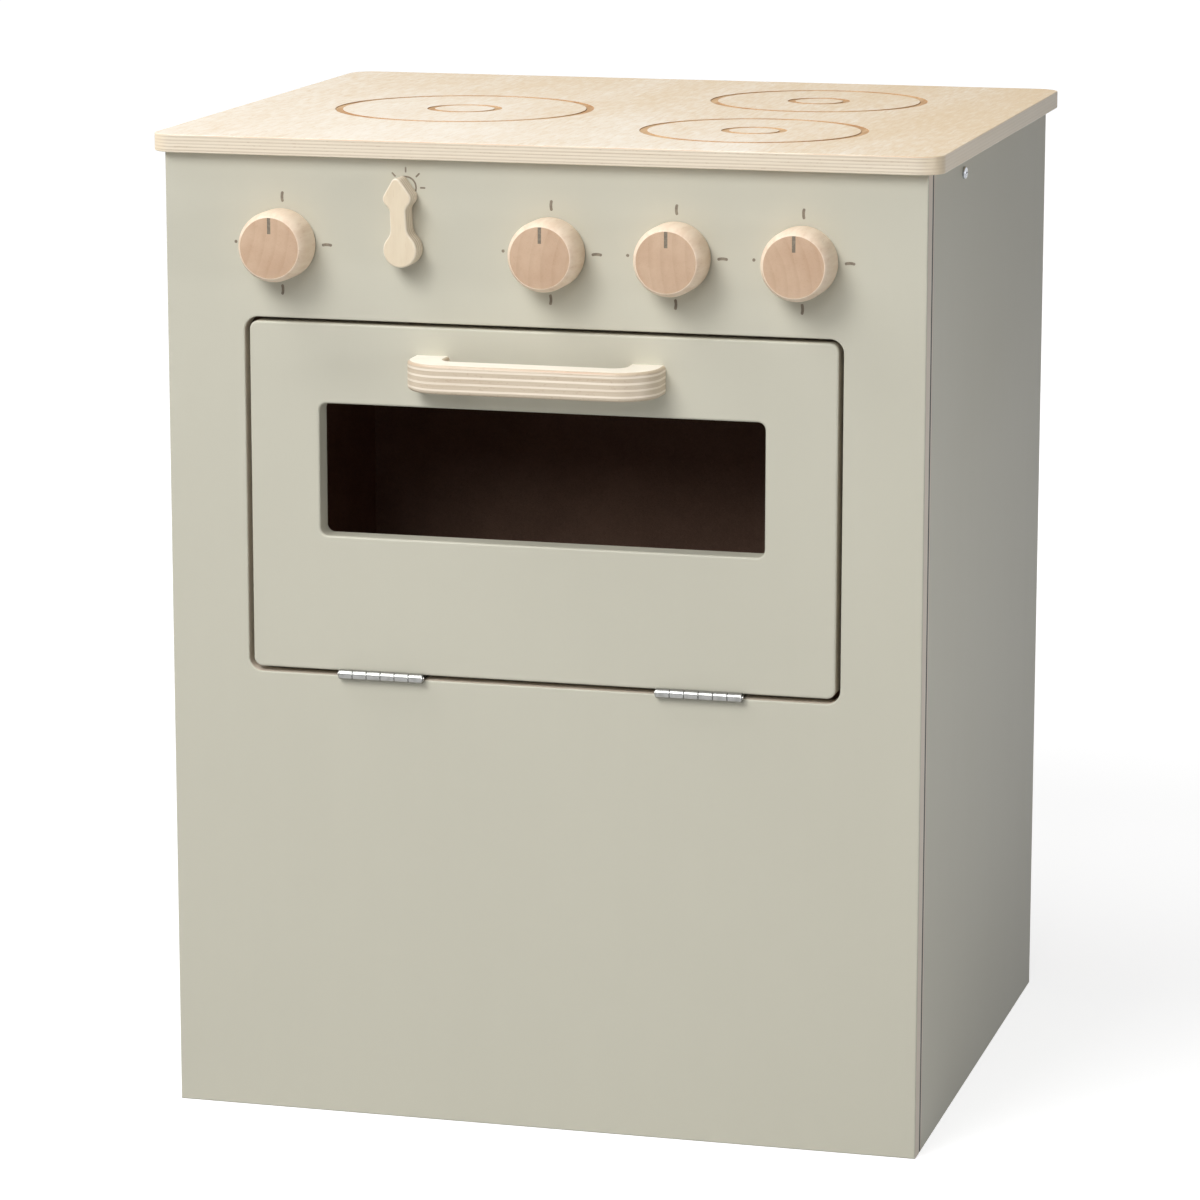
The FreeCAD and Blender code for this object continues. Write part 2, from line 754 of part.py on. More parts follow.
def build():
    """Every piece of the stove, by node name."""
    front_dowels = all_front_dowels(dowel_radius)
    shelf_dowels = [
        shelf_dowel(start, dowel_radius, side) for side in (-1, 1) for start in shelf_dowel_starts(side)
    ]
    hinge_xs = {"left_hinge": -hinge_offset, "right_hinge": hinge_offset}
    panel_seats = [seat for x in hinge_xs.values() for seat in panel_leaf_screw_seats(x)]
    door_seats = [seat for x in hinge_xs.values() for seat in door_leaf_screw_seats(x)]
    groups = {
        "front_dowels": front_dowels,
        "shelf_dowels": shelf_dowels,
        "side_screws": [round_screw(side_screw, *seat) for seat in side_screw_seats()],
        "worktop_screws": [flat_screw(worktop_screw, *seat) for seat in worktop_screw_seats()],
        "back_panel_screws": [round_screw(back_screw, *seat) for seat in back_screw_seats()],
        "handle_screws": [flat_screw(handle_screw, *seat) for seat in handle_screw_seats()],
        "hinge_panel_screws": [flat_screw(hinge_screw, *seat) for seat in panel_seats],
        "hinge_door_screws": [flat_screw(hinge_screw, *seat) for seat in door_seats],
        "catch_screws": [round_screw(catch_screw, *seat) for seat in catch_screw_seats()],
        "strike_screws": [flat_screw(strike_screw, *seat) for seat in strike_screw_seats()],
    }
    parts = {
        "front_panel": front_panel(),
        "left_side_panel": side_panel(-1),
        "right_side_panel": side_panel(1),
        "back_panel": back_panel(),
        "base_panel": shelf(base_lift, base_thickness),
        "worktop": worktop(),
        "front_top_rail": top_rail(front_rail_y),
        "rear_top_rail": top_rail(rear_rail_y),
        "oven_floor": shelf(oven_floor_z, shelf_thickness),
        "oven_ceiling": shelf(oven_ceiling_z, shelf_thickness),
        "oven_left_wall": oven_side_wall(-1),
        "oven_right_wall": oven_side_wall(1),
        "oven_back_wall": oven_back_wall(),
        "oven_door": oven_door(),
        "door_handle": door_handle(),
        "catch_housing": catch_housing(),
        "catch_magnet": magnet(0),
        "strike_plate": strike_plate(),
        "light_switch_lever": light_switch_lever(),
    }
    for name, solids in groups.items():
        parts[name] = Part.makeCompound(solids)
    for name, x in hinge_xs.items():
        parts[name + "_fixed_leaf"] = hinge_leaf(x, False)
        parts[name + "_moving_leaf"] = hinge_leaf(x, True)
        parts[name + "_pin"] = hinge_pin(x)
    knob_fit = (knob_dowel_radius, knob_socket_depth, knob_washer_radius, knob_screw)
    for name, x in knob_places.items():
        parts[name] = knob(x)
        parts.update(control_hardware(name, x, *knob_fit))
    switch_fit = (switch_dowel_radius, switch_socket_depth, switch_washer_radius, switch_screw)
    parts.update(control_hardware("light_switch", switch_x, *switch_fit))
    return parts


os.makedirs("parts", exist_ok=True)
for node, shape in build().items():
    if not shape.isValid():
        raise ValueError(node + " is not a valid solid")
    shape.exportStep("parts/" + node + ".step")
    print(node, len(shape.Solids), round(shape.Volume, 1))
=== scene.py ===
"""Looks of a wooden toy stove: painted boards, plywood, turned knobs, hinges and a plain studio.

Everything is in metres and in the frame's own axes: +X to the right of someone facing the door, +Z up.
"""
import logging
import math
from dataclasses import dataclass, field
from enum import Enum, IntEnum
from typing import Callable, Iterable, Mapping, Sequence, Union

import bmesh
import bpy
from bmesh.types import BMEdge, BMFace, BMVert
from bpy.types import NodeSocket
from mathutils import Matrix, Vector


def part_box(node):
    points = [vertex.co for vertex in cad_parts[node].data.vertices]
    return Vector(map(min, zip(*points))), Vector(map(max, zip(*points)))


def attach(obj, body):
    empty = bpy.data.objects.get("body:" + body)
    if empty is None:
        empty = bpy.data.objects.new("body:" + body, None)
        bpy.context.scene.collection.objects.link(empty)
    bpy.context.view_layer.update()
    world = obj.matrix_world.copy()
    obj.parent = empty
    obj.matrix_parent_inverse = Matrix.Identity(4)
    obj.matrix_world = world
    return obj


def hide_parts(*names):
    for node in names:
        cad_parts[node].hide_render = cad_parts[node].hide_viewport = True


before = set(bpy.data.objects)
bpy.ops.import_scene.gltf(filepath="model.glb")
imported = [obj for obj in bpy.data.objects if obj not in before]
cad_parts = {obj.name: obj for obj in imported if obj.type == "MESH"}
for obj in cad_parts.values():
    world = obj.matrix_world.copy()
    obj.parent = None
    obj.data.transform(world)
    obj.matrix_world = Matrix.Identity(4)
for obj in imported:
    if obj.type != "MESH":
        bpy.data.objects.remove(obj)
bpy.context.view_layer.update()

MM = 0.001
MERGE = 0.002 * MM
SAME = 0.01 * MM
QUARTER = math.pi / 2
log = logging.getLogger("toy_stove")

Colour = tuple[float, float, float]
Place = tuple[float, float, float]
Pair = tuple[float, float]
AXIS_X = Vector((1, 0, 0))
AXIS_Y = Vector((0, 1, 0))
AXIS_Z = Vector((0, 0, 1))
ORIGIN = Vector((0, 0, 0))


class Body(Enum):
    """The bodies of the frame that pieces ride on."""

    CARCASS = "carcass"
    DOOR = "door"
    OVEN_KNOB = "oven_knob"
    LEFT_HOB_KNOB = "left_hob_knob"
    MIDDLE_HOB_KNOB = "middle_hob_knob"
    RIGHT_HOB_KNOB = "right_hob_knob"
    LIGHT_SWITCH = "light_switch"


class Slot(Enum):
    """The record's material slots, by name; of these only plywood changes how a piece is shaded."""

    PAINT = "sage_paint"
    PLYWOOD = "birch_plywood"
    BEECH = "beech"


class Axis(Enum):
    """An axis of the frame, by its output on a Separate XYZ node."""

    X = "X"
    Y = "Y"
    Z = "Z"


class Area(IntEnum):
    """The areas of a piece with a finish of their own, after the main one, by material number."""

    END = 1
    ENGRAVED = 2


class Rounding(Enum):
    """What a rounding works on."""

    EDGES = "EDGES"
    POINTS = "VERTICES"


def shade(red: int, green: int, blue: int) -> Colour:
    """The linear colour of display values from 0 to 255."""
    parts = [value / 255 for value in (red, green, blue)]
    return tuple(part / 12.92 if part <= 0.04 else ((part + 0.055) / 1.055) ** 2.4 for part in parts)


def scaled(colour: Colour, factor: float) -> Colour:
    """A colour made darker or lighter."""
    return tuple(min(1.0, value * factor) for value in colour)


@dataclass(frozen=True)
class Cells:
    """A layer of soft noise: cells per metre along each axis, octaves, share of finer ones, and twist."""

    x: float
    y: float
    z: float
    octaves: float = 2.0
    finer: float = 0.5
    twist: float = 0.0

    @classmethod
    def along(cls, axis: Axis, lengthwise: float, across: float, *rest: float) -> "Cells":
        """Cells that differ along one axis."""
        return cls(*(lengthwise if each is axis else across for each in Axis), *rest)


class Signal:
    """A number that varies over a surface: a socket whose arithmetic adds Math nodes."""

    def __init__(self, graph: "Graph", socket: NodeSocket) -> None:
        """Wraps one output socket of a graph."""
        self.graph = graph
        self.socket = socket

    def __add__(self, other: "Number") -> "Signal":
        """The sum."""
        return self.graph.math("ADD", self, other)

    __radd__ = __add__

    def __sub__(self, other: "Number") -> "Signal":
        """The difference."""
        return self.graph.math("SUBTRACT", self, other)

    def __rsub__(self, other: float) -> "Signal":
        """The difference, with the number first."""
        return self.graph.math("SUBTRACT", other, self)

    def __mul__(self, other: "Number") -> "Signal":
        """The product."""
        return self.graph.math("MULTIPLY", self, other)

    __rmul__ = __mul__

    def __truediv__(self, other: "Number") -> "Signal":
        """The quotient."""
        return self.graph.math("DIVIDE", self, other)

    def __rtruediv__(self, other: float) -> "Signal":
        """The quotient, with the number first."""
        return self.graph.math("DIVIDE", other, self)

    def __pow__(self, other: "Number") -> "Signal":
        """The power."""
        return self.graph.math("POWER", self, other)

    def __rpow__(self, other: float) -> "Signal":
        """The power, with the number first."""
        return self.graph.math("POWER", other, self)

    def __abs__(self) -> "Signal":
        """The size without its sign."""
        return self.graph.math("ABSOLUTE", self)

    def fraction(self) -> "Signal":
        """What is left after the whole number."""
        return self.graph.math("FRACT", self)

    def whole(self) -> "Signal":
        """The whole number below."""
        return self.graph.math("FLOOR", self)

    def rise(self, start: float, end: float) -> "Signal":
        """Goes smoothly from 0 at start to 1 at end.

        Args:
            start: value at which it is 0.
            end: value at which it is 1, which may be lower than start.

        Returns:
            The smooth step.
        """
        inputs = {"Value": self, "From Min": start, "From Max": end, "To Min": 0.0, "To Max": 1.0}
        if start > end:
            inputs.update({"From Min": end, "From Max": start, "To Min": 1.0, "To Max": 0.0})
        smooth = {"interpolation_type": "SMOOTHSTEP"}
        return Signal(self.graph, self.graph.node("ShaderNodeMapRange", smooth, inputs).outputs["Result"])

    def between(self, low: float, high: float) -> "Signal":
        """A signal from 0 to 1 spread over a range."""
        return self * (high - low) + low

    def blend(self, other: "Signal", share: float) -> "Signal":
        """A mean with another signal, which has the given share."""
        return self * (1 - share) + other * share


Number = Union[Signal, float]
Input = Union[Signal, NodeSocket, float, Sequence[float]]


class Graph:
    """The node tree of one material or of the world."""

    def __init__(self, tree: bpy.types.NodeTree) -> None:
        """Takes over a node tree and empties it."""
        self.tree = tree
        tree.nodes.clear()

    def node(self, kind: str, settings: Mapping[str, object] | None = None,
             inputs: Mapping[str, Input] | None = None) -> bpy.types.Node:
        """Adds a node.

        Args:
            kind: the node's type name.
            settings: its properties, set first.
            inputs: values or links, by the socket's identifier or name.

        Returns:
            The new node.
        """
        made = self.tree.nodes.new(kind)
        for name, value in (settings or {}).items():
            setattr(made, name, value)
        for name, value in (inputs or {}).items():
            socket = self.socket(made.inputs, name)
            if isinstance(value, Signal):
                value = value.socket
            if isinstance(value, NodeSocket):
                self.tree.links.new(value, socket)
            elif socket.type == "RGBA" and len(value) == 3:
                socket.default_value = (*value, 1.0)
            else:
                socket.default_value = value
        return made

    @staticmethod
    def socket(group: Sequence[NodeSocket], name: str) -> NodeSocket:
        """A node's input or output by its identifier, or else by its name."""
        identifiers = [each.identifier for each in group]
        return group[identifiers.index(name) if name in identifiers else name]

    def math(self, operation: str, first: Number, second: Number = 0.0) -> Signal:
        """One Math node on signals or numbers."""
        inputs = {"Value": first, "Value_001": second}
        return Signal(self, self.node("ShaderNodeMath", {"operation": operation}, inputs).outputs[0])

    def point(self, centre: Vector = ORIGIN, scale: Sequence[float] = (1, 1, 1)) -> NodeSocket:
        """Object coordinates, moved so that a centre is at zero, then scaled.

        Args:
            centre: the point of the object that becomes zero.
            scale: factor along each axis.

        Returns:
            The vector socket.
        """
        source = self.node("ShaderNodeTexCoord").outputs["Object"]
        moved = self.node("ShaderNodeVectorMath", {"operation": "SUBTRACT"},
                          {"Vector": source, "Vector_001": tuple(centre)}).outputs["Vector"]
        mapping = {"Vector": moved, "Scale": tuple(scale)}
        return self.node("ShaderNodeMapping", {"vector_type": "POINT"}, mapping).outputs["Vector"]

    def along(self, axis: Axis, centre: Vector = ORIGIN) -> Signal:
        """One Object coordinate, measured from a centre."""
        split = self.node("ShaderNodeSeparateXYZ", None, {"Vector": self.point(centre)})
        return Signal(self, split.outputs[axis.value])

    def distance(self, first: Axis, second: Axis, centre: Vector = ORIGIN) -> Signal:
        """The distance from a centre in the plane of two axes."""
        one, other = self.along(first, centre), self.along(second, centre)
        return (one * one + other * other) ** 0.5

    def noise(self, cells: Cells, shift: Vector = ORIGIN) -> Signal:
        """Soft noise over Object coordinates.

        Args:
            cells: the layer of noise.
            shift: moves the pattern.

        Returns:
            The noise, around 0.5.
        """
        inputs = {
            "Vector": self.point(shift, (cells.x, cells.y, cells.z)), "Scale": 1.0,
            "Detail": cells.octaves, "Roughness": cells.finer, "Distortion": cells.twist,
        }
        made = self.node("ShaderNodeTexNoise", {"noise_dimensions": "3D"}, inputs)
        return Signal(self, made.outputs["Fac"])

    def random(self, number: Signal) -> Signal:
        """A fixed random value from 0 to 1 for each whole number."""
        made = self.node("ShaderNodeTexWhiteNoise", {"noise_dimensions": "1D"}, {"W": number})
        return Signal(self, made.outputs["Value"])

    def mix(self, share: Number, first: Input, second: Input) -> NodeSocket:
        """A colour between two, by a share from 0 to 1."""
        inputs = {"Factor_Float": share, "A_Color": first, "B_Color": second}
        return self.socket(self.node("ShaderNodeMix", {"data_type": "RGBA"}, inputs).outputs, "Result_Color")


@dataclass(frozen=True, kw_only=True)
class Finish:
    """One finish, which makes its material once and hands it out again after that."""

    name: str
    metallic: float = 0.0
    specular: float = 0.3
    rough: Pair = (0.5, 0.7)
    relief: float = 0.05 * MM
    strength: float = 0.5

    def material(self) -> bpy.types.Material:
        """The material of this finish.

        Returns:
            The one made before, or else a new one.
        """
        found = bpy.data.materials.get(self.name)
        if found is None:
            found = bpy.data.materials.new(self.name)
            found.use_nodes = True
            self.paint(Graph(found.node_tree))
        return found

    def paint(self, graph: Graph) -> None:
        """Fills the material's node tree."""
        raise NotImplementedError

    def dress(self, graph: Graph, colour: NodeSocket, gloss: Signal | None = None,
              height: Signal | None = None) -> None:
        """Ends the material's tree in one principled shader.

        Args:
            graph: the material's graph.
            colour: the base colour.
            gloss: 0 where the finish is smoothest and 1 where it is roughest, if it varies.
            height: 0 to 1 over the depth of the relief, if it has one.
        """
        low, high = self.rough
        inputs = {
            "Base Color": colour, "Metallic": self.metallic, "Specular IOR Level": self.specular,
            "Roughness": low if gloss is None else gloss.between(low, high),
        }
        if height is not None:
            bump = {"Height": height, "Distance": self.relief, "Strength": self.strength}
            inputs["Normal"] = graph.node("ShaderNodeBump", None, bump).outputs["Normal"]
        shader = graph.node("ShaderNodeBsdfPrincipled", None, inputs).outputs["BSDF"]
        graph.node("ShaderNodeOutputMaterial", None, {"Surface": shader})


@dataclass(frozen=True, kw_only=True)
class BoardPaint(Finish):
    """Satin paint on a smooth board, rolled on, with a faint stipple and a little unevenness."""

    colour: Colour = shade(199, 196, 180)
    tone: float = 0.035
    specular: float = 0.42
    rough: Pair = (0.40, 0.56)
    front: float | None = None
    joint: float = 0.0
    # Painted shadow in the gap between the front board and the side panels: its dark core, its soft edge and
    # its colour.
    gap_shadow_core: float = 1.28 * MM
    gap_shadow_edge: float = 1.76 * MM
    gap_shadow_colour: Colour = shade(42, 36, 30)
    # A paler band on the front board's cut edge that runs a few millimetres onto the side panel, where it is
    # a painted highlight.
    rim_width: float = 4.0 * MM
    rim_start: Pair = (0.4 * MM, 1.2 * MM)
    rim_fade: float = 2.0 * MM
    rim_tone_and_highlight: Colour = shade(228, 215, 199)

    def paint(self, graph: Graph) -> None:
        """Paint with soft patches of tone, a roller's stipple and uneven gloss.

        Args:
            graph: the material's graph.
        """
        patches = graph.noise(Cells(7, 7, 7, 3.0, 0.55))
        grain = graph.noise(Cells(60, 60, 9, 3.0, 0.6))
        stipple = graph.noise(Cells(850, 850, 850, 2.0, 0.6))
        darker, lighter = (scaled(self.colour, 1 + change) for change in (-self.tone, self.tone))
        colour = graph.mix(patches.blend(grain, 0.35), darker, lighter)
        if self.front is not None:
            colour = self.with_gap_shadow(graph, colour)
        self.dress(graph, colour, stipple.blend(patches, 0.6), stipple.blend(grain, 0.2))

    def with_gap_shadow(self, graph: Graph, colour: NodeSocket) -> NodeSocket:
        """Adds a paler band on the front board's cut edge, a painted highlight where it runs onto the side
        panel, and a painted shadow in the gap behind it.

        Args:
            graph: the material's graph.
            colour: the paint's own colour.

        Returns:
            The colour with both.
        """
        depth = graph.along(Axis.Y)
        behind = self.joint + self.rim_width
        # Paler band: a lighter tone on the front board's cut edge, and a painted highlight where it runs
        # onto the side panel behind the joint.
        rim = depth.rise(*(self.front + start for start in self.rim_start))
        rim = rim * depth.rise(behind, behind - self.rim_fade)
        # Painted shadow: a dark line along the gap between the front board and the side panel, where shade
        # falls in the joint.
        line = abs(depth - self.joint).rise(self.gap_shadow_edge, self.gap_shadow_core)
        return graph.mix(line, graph.mix(rim, colour, self.rim_tone_and_highlight), self.gap_shadow_colour)


@dataclass(frozen=True, kw_only=True)
class BirchVeneer(Finish):
    """The face of birch plywood: cream wood with a silky figure and fine pores along one axis."""

    grain: Axis = Axis.Y
    pale: Colour = shade(251, 242, 227)
    warm: Colour = shade(226, 199, 158)
    pore: Colour = shade(206, 174, 130)
    seed: float = 0.0
    painted_light_slope: Pair = (0.0, 0.0)
    specular: float = 0.4
    rough: Pair = (0.34, 0.56)
    relief: float = 0.06 * MM

    def paint(self, graph: Graph) -> None:
        """Broad figure, silky flecks, short pores and a satin lacquer, with painted light where a slope is
        given: paler where glare falls, warmer and darker towards the back right.

        Args:
            graph: the material's graph.
        """
        shift = Vector((self.seed, self.seed * 1.7, self.seed * 0.6))
        figure = graph.noise(Cells.along(self.grain, 3, 14, 3.0, 0.5, 0.4), shift)
        flame = graph.noise(Cells.along(self.grain, 75, 240, 3.0, 0.6, 0.4), shift)
        streak = graph.noise(Cells.along(self.grain, 50, 640, 3.0, 0.6), shift)
        pores = graph.noise(Cells.along(self.grain, 110, 1200), shift).rise(0.60, 0.72)
        # Painted light: the tone slopes across the board, paler at the front left where glare falls and
        # warmer towards the back right.
        painted_light_slope = graph.along(Axis.X) * self.painted_light_slope[0] + graph.along(Axis.Y) * self.painted_light_slope[1]
        tone = (figure * 0.40 + flame * 0.30 + streak * 0.30 + painted_light_slope).rise(0.30, 0.70)
        wood = graph.mix(tone, self.pale, self.warm)
        colour = graph.mix(pores * 0.4 + streak.rise(0.58, 0.75) * 0.12, wood, self.pore)
        self.dress(graph, colour, 1 - flame * 0.6, 1 - pores * 0.6 - streak * 0.4)


@dataclass(frozen=True, kw_only=True)
class PlyEdges(Finish):
    """The cut edge of plywood, with its plies in turn along and across the cut."""

    across: Axis = Axis.Z
    start: float
    thickness: float
    plies: int
    cross_share: float = 0.5
    phase: float = 0.0
    waver: float = 0.12
    ply_seed: float = 7.0
    cross_fade: Pair = (0.03, -0.05)
    glue_line: Pair = (0.05, 0.005)
    seam_depth: float = 0.45
    seam_line: Pair = (0.28, 0.08)
    pale: Colour = shade(237, 225, 205)
    tan: Colour = shade(210, 195, 173)
    glue: Colour = shade(178, 150, 122)
    toast: Colour = shade(206, 156, 112)
    # Paler side edges: partly the long grain of the face plies, partly painted light for the extra light the
    # right edge catches.
    flank: float | None = None
    flank_turn: float = 12 * MM
    flank_share: float = 0.75
    flank_grain_and_light: Colour = shade(252, 231, 197)
    specular: float = 0.5
    rough: Pair = (0.30, 0.44)
    strength: float = 0.7

    def paint(self, graph: Graph) -> None:
        """Plies of two tones with streaks along each, glue lines, a toasted top seam, and flanks painted
        paler, partly for their long grain and partly as painted light.

        Args:
            graph: the material's graph.
        """
        depth = (graph.along(self.across) - self.start) / (self.thickness / self.plies)
        place = depth + (graph.noise(Cells(30, 30, 30)) - 0.5) * self.waver
        away = abs(((place + self.phase) / 2 + 0.75).fraction() - 0.5)
        edge = self.cross_share / 2
        streak = graph.noise(Cells.along(self.across, 1500, 16, 3.0, 0.65))
        speck = graph.noise(Cells.along(self.across, 900, 420, 2.0, 0.6))
        own = graph.random(place.whole() + self.ply_seed)
        cross = away.rise(*(edge + fade for fade in self.cross_fade))
        colour = graph.mix(cross * 0.8 + own * 0.12, self.pale, self.tan)
        colour = graph.mix(streak.rise(0.42, 0.72) * 0.35, colour, self.tan)
        marks = speck.rise(0.56, 0.72) * 0.35 + streak.rise(0.50, 0.70) * 0.30
        colour = graph.mix(marks * cross, colour, self.glue)
        seam = abs(away - edge).rise(*self.glue_line)
        colour = graph.mix(seam * (0.1 + 0.35 * own), colour, self.glue)
        top = abs(place - (self.plies - self.seam_depth)).rise(*self.seam_line)
        colour = graph.mix(top * streak.rise(0.40, 0.56) * 0.8, colour, self.toast)
        # The side edges are painted paler: partly the face plies' long grain seen along them, partly painted
        # light for the light the right edge catches.
        if self.flank is not None:
            turned = abs(graph.along(Axis.X)).rise(self.flank - self.flank_turn, self.flank)
            colour = graph.mix(turned * self.flank_share, colour, self.flank_grain_and_light)
        self.dress(graph, colour, streak, 1 - cross * 0.5 - seam * 0.3 - speck * cross * 0.3)


@dataclass(frozen=True, kw_only=True)
class Mottled(Finish):
    """An even material in two tones, mottled by a fine layer of noise and a broad one."""

    first: Colour
    second: Colour
    fine: Cells
    broad: Cells
    broad_share: float
    contrast: Pair | None = None

    def paint(self, graph: Graph) -> None:
        """Tone by both layers, and gloss and relief by the fine one.

        Args:
            graph: the material's graph.
        """
        fine = graph.noise(self.fine)
        tone = fine.blend(graph.noise(self.broad), self.broad_share)
        if self.contrast is not None:
            tone = tone.rise(*self.contrast)
        self.dress(graph, graph.mix(tone, self.first, self.second), fine, fine)


@dataclass(frozen=True, kw_only=True)
class BurntGroove(Mottled):
    """The floor of an engraved ring, toasted in patches across the grain, with fine streaks."""

    first: Colour = shade(216, 182, 140)
    second: Colour = shade(188, 144, 100)
    fine: Cells = Cells(600, 30, 600, 3.0, 0.6)
    broad: Cells = Cells(45, 18, 45, 3.0, 0.6)
    broad_share: float = 0.7
    contrast: Pair | None = (0.36, 0.62)
    specular: float = 0.25
    rough: Pair = (0.6, 0.8)
    strength: float = 0.6


@dataclass(frozen=True, kw_only=True)
class FibreBoard(Mottled):
    """Pressed fibre board: short fibres lying every way, over slow changes of tone."""

    first: Colour = shade(130, 102, 86)
    second: Colour = shade(158, 127, 108)
    fine: Cells = Cells(900, 300, 900, 4.0, 0.7, 1.5)
    broad: Cells = Cells(25, 25, 25, 3.0, 0.6)
    broad_share: float = 0.4
    contrast: Pair | None = (0.36, 0.66)
    rough: Pair = (0.47, 0.67)
    relief: float = 0.04 * MM


@dataclass(frozen=True, kw_only=True)
class Moulded(Mottled):
    """Moulded plastic or pressed ferrite, a little uneven, with a fine spark texture."""

    broad: Cells = Cells(40, 40, 40)
    broad_share: float = 0.6
    specular: float = 0.4
    relief: float = 0.03 * MM


@dataclass(frozen=True, kw_only=True)
class BeechEnd(Finish):
    """The flat face of a turned knob: end grain with its growth rings as wide arcs."""

    centre: Vector
    pith: Place
    ring: float = 6.0 * MM
    waver: float = 4.5 * MM
    pale: Colour = shade(209, 180, 153)
    dark: Colour = shade(185, 150, 122)
    rough: Pair = (0.52, 0.52)
    relief: float = 0.04 * MM

    def paint(self, graph: Graph) -> None:
        """Arcs round a pith that lies outside the knob, with pores and soft clouds of tone.

        Args:
            graph: the material's graph.
        """
        waver = (graph.noise(Cells(70, 1, 22, 3.0)) - 0.5) * self.waver
        radius = graph.distance(Axis.X, Axis.Z, self.centre + Vector(self.pith)) + waver
        ring = (radius / self.ring).fraction()
        edge = ring.rise(0.45, 0.92) * ring.rise(1.0, 0.93)
        pores = graph.noise(Cells(1700, 200, 1700)).rise(0.56, 0.70)
        cloud = graph.noise(Cells(60, 60, 60, 3.0, 0.6))
        tone = edge * 0.18 + cloud.rise(0.3, 0.7) * 0.45 + pores * 0.20
        colour = graph.mix(tone, self.pale, self.dark)
        self.dress(graph, colour, None, 1 - pores * 0.7 - edge * 0.3)


@dataclass(frozen=True, kw_only=True)
class BeechSide(Finish):
    """The round side of a turned knob: paler wood with fine marks round it from the lathe."""

    pale: Colour = shade(244, 224, 201)
    dark: Colour = shade(227, 201, 174)
    specular: float = 0.45
    rough: Pair = (0.33, 0.46)
    relief: float = 0.02 * MM
    strength: float = 0.4

    def paint(self, graph: Graph) -> None:
        """Soft streaks along the axis, small flecks and a silky lacquer.

        Args:
            graph: the material's graph.
        """
        streak = graph.noise(Cells(240, 26, 240, 3.0, 0.6))
        fleck = graph.noise(Cells(900, 130, 900)).rise(0.60, 0.74)
        lathe = graph.noise(Cells(8, 1400, 8))
        tone = streak.rise(0.34, 0.70) * 0.7 + fleck * 0.5
        self.dress(graph, graph.mix(tone, self.pale, self.dark), lathe, lathe * 0.5 - fleck * 0.5)


@dataclass(frozen=True, kw_only=True)
class PrintedMark(Finish):
    """Matt grey-brown marking ink, a little thin in places."""

    ink: Colour = shade(130, 119, 105)
    thin: Colour = shade(148, 138, 122)
    specular: float = 0.25
    rough: Pair = (0.55, 0.75)

    def paint(self, graph: Graph) -> None:
        """Ink with a patchy tone and gloss."""
        patch = graph.noise(Cells(700, 700, 700, 2.0, 0.6))
        self.dress(graph, graph.mix(patch.rise(0.4, 0.7), self.ink, self.thin), patch)


@dataclass(frozen=True, kw_only=True)
class PlatedSteel(Finish):
    """Bright plated steel with fine scratches along one axis."""

    along: Axis = Axis.X
    colour: Colour = shade(153, 153, 151)
    dull: Colour = shade(138, 138, 135)
    metallic: float = 1.0
    specular: float = 0.5
    rough: Pair = (0.15, 0.32)
    relief: float = 0.01 * MM
    strength: float = 0.35

    def paint(self, graph: Graph) -> None:
        """Metal with drawn scratches and dull patches.

        Args:
            graph: the material's graph.
        """
        scratch = graph.noise(Cells.along(self.along, 40, 2600, 3.0, 0.6))
        patch = graph.noise(Cells(260, 260, 260, 3.0, 0.6))
        colour = graph.mix(patch.rise(0.4, 0.75), self.colour, self.dull)
        self.dress(graph, colour, scratch.blend(patch, 0.4), scratch)


@dataclass(frozen=True, kw_only=True)
class PlainWood(Finish):
    """Planed softwood or dowel wood with growth lines along one axis."""

    grain: Axis = Axis.X
    pale: Colour = shade(232, 206, 165)
    late: Colour = shade(200, 158, 108)
    line: float = 130.0
    fibres: float = 9.0
    relief: float = 0.06 * MM

    def paint(self, graph: Graph) -> None:
        """Growth lines of late wood, wavering along the piece, and fibres between them.

        Args:
            graph: the material's graph.
        """
        lines = graph.noise(Cells.along(self.grain, 5, self.line, 2.0, 0.5, 0.6))
        fibre = graph.noise(Cells.along(self.grain, 20, self.line * self.fibres, 3.0, 0.6))
        colour = graph.mix(lines.rise(0.45, 0.62) * 0.7 + fibre * 0.3, self.pale, self.late)
        self.dress(graph, colour, fibre, fibre.blend(lines, 0.4))


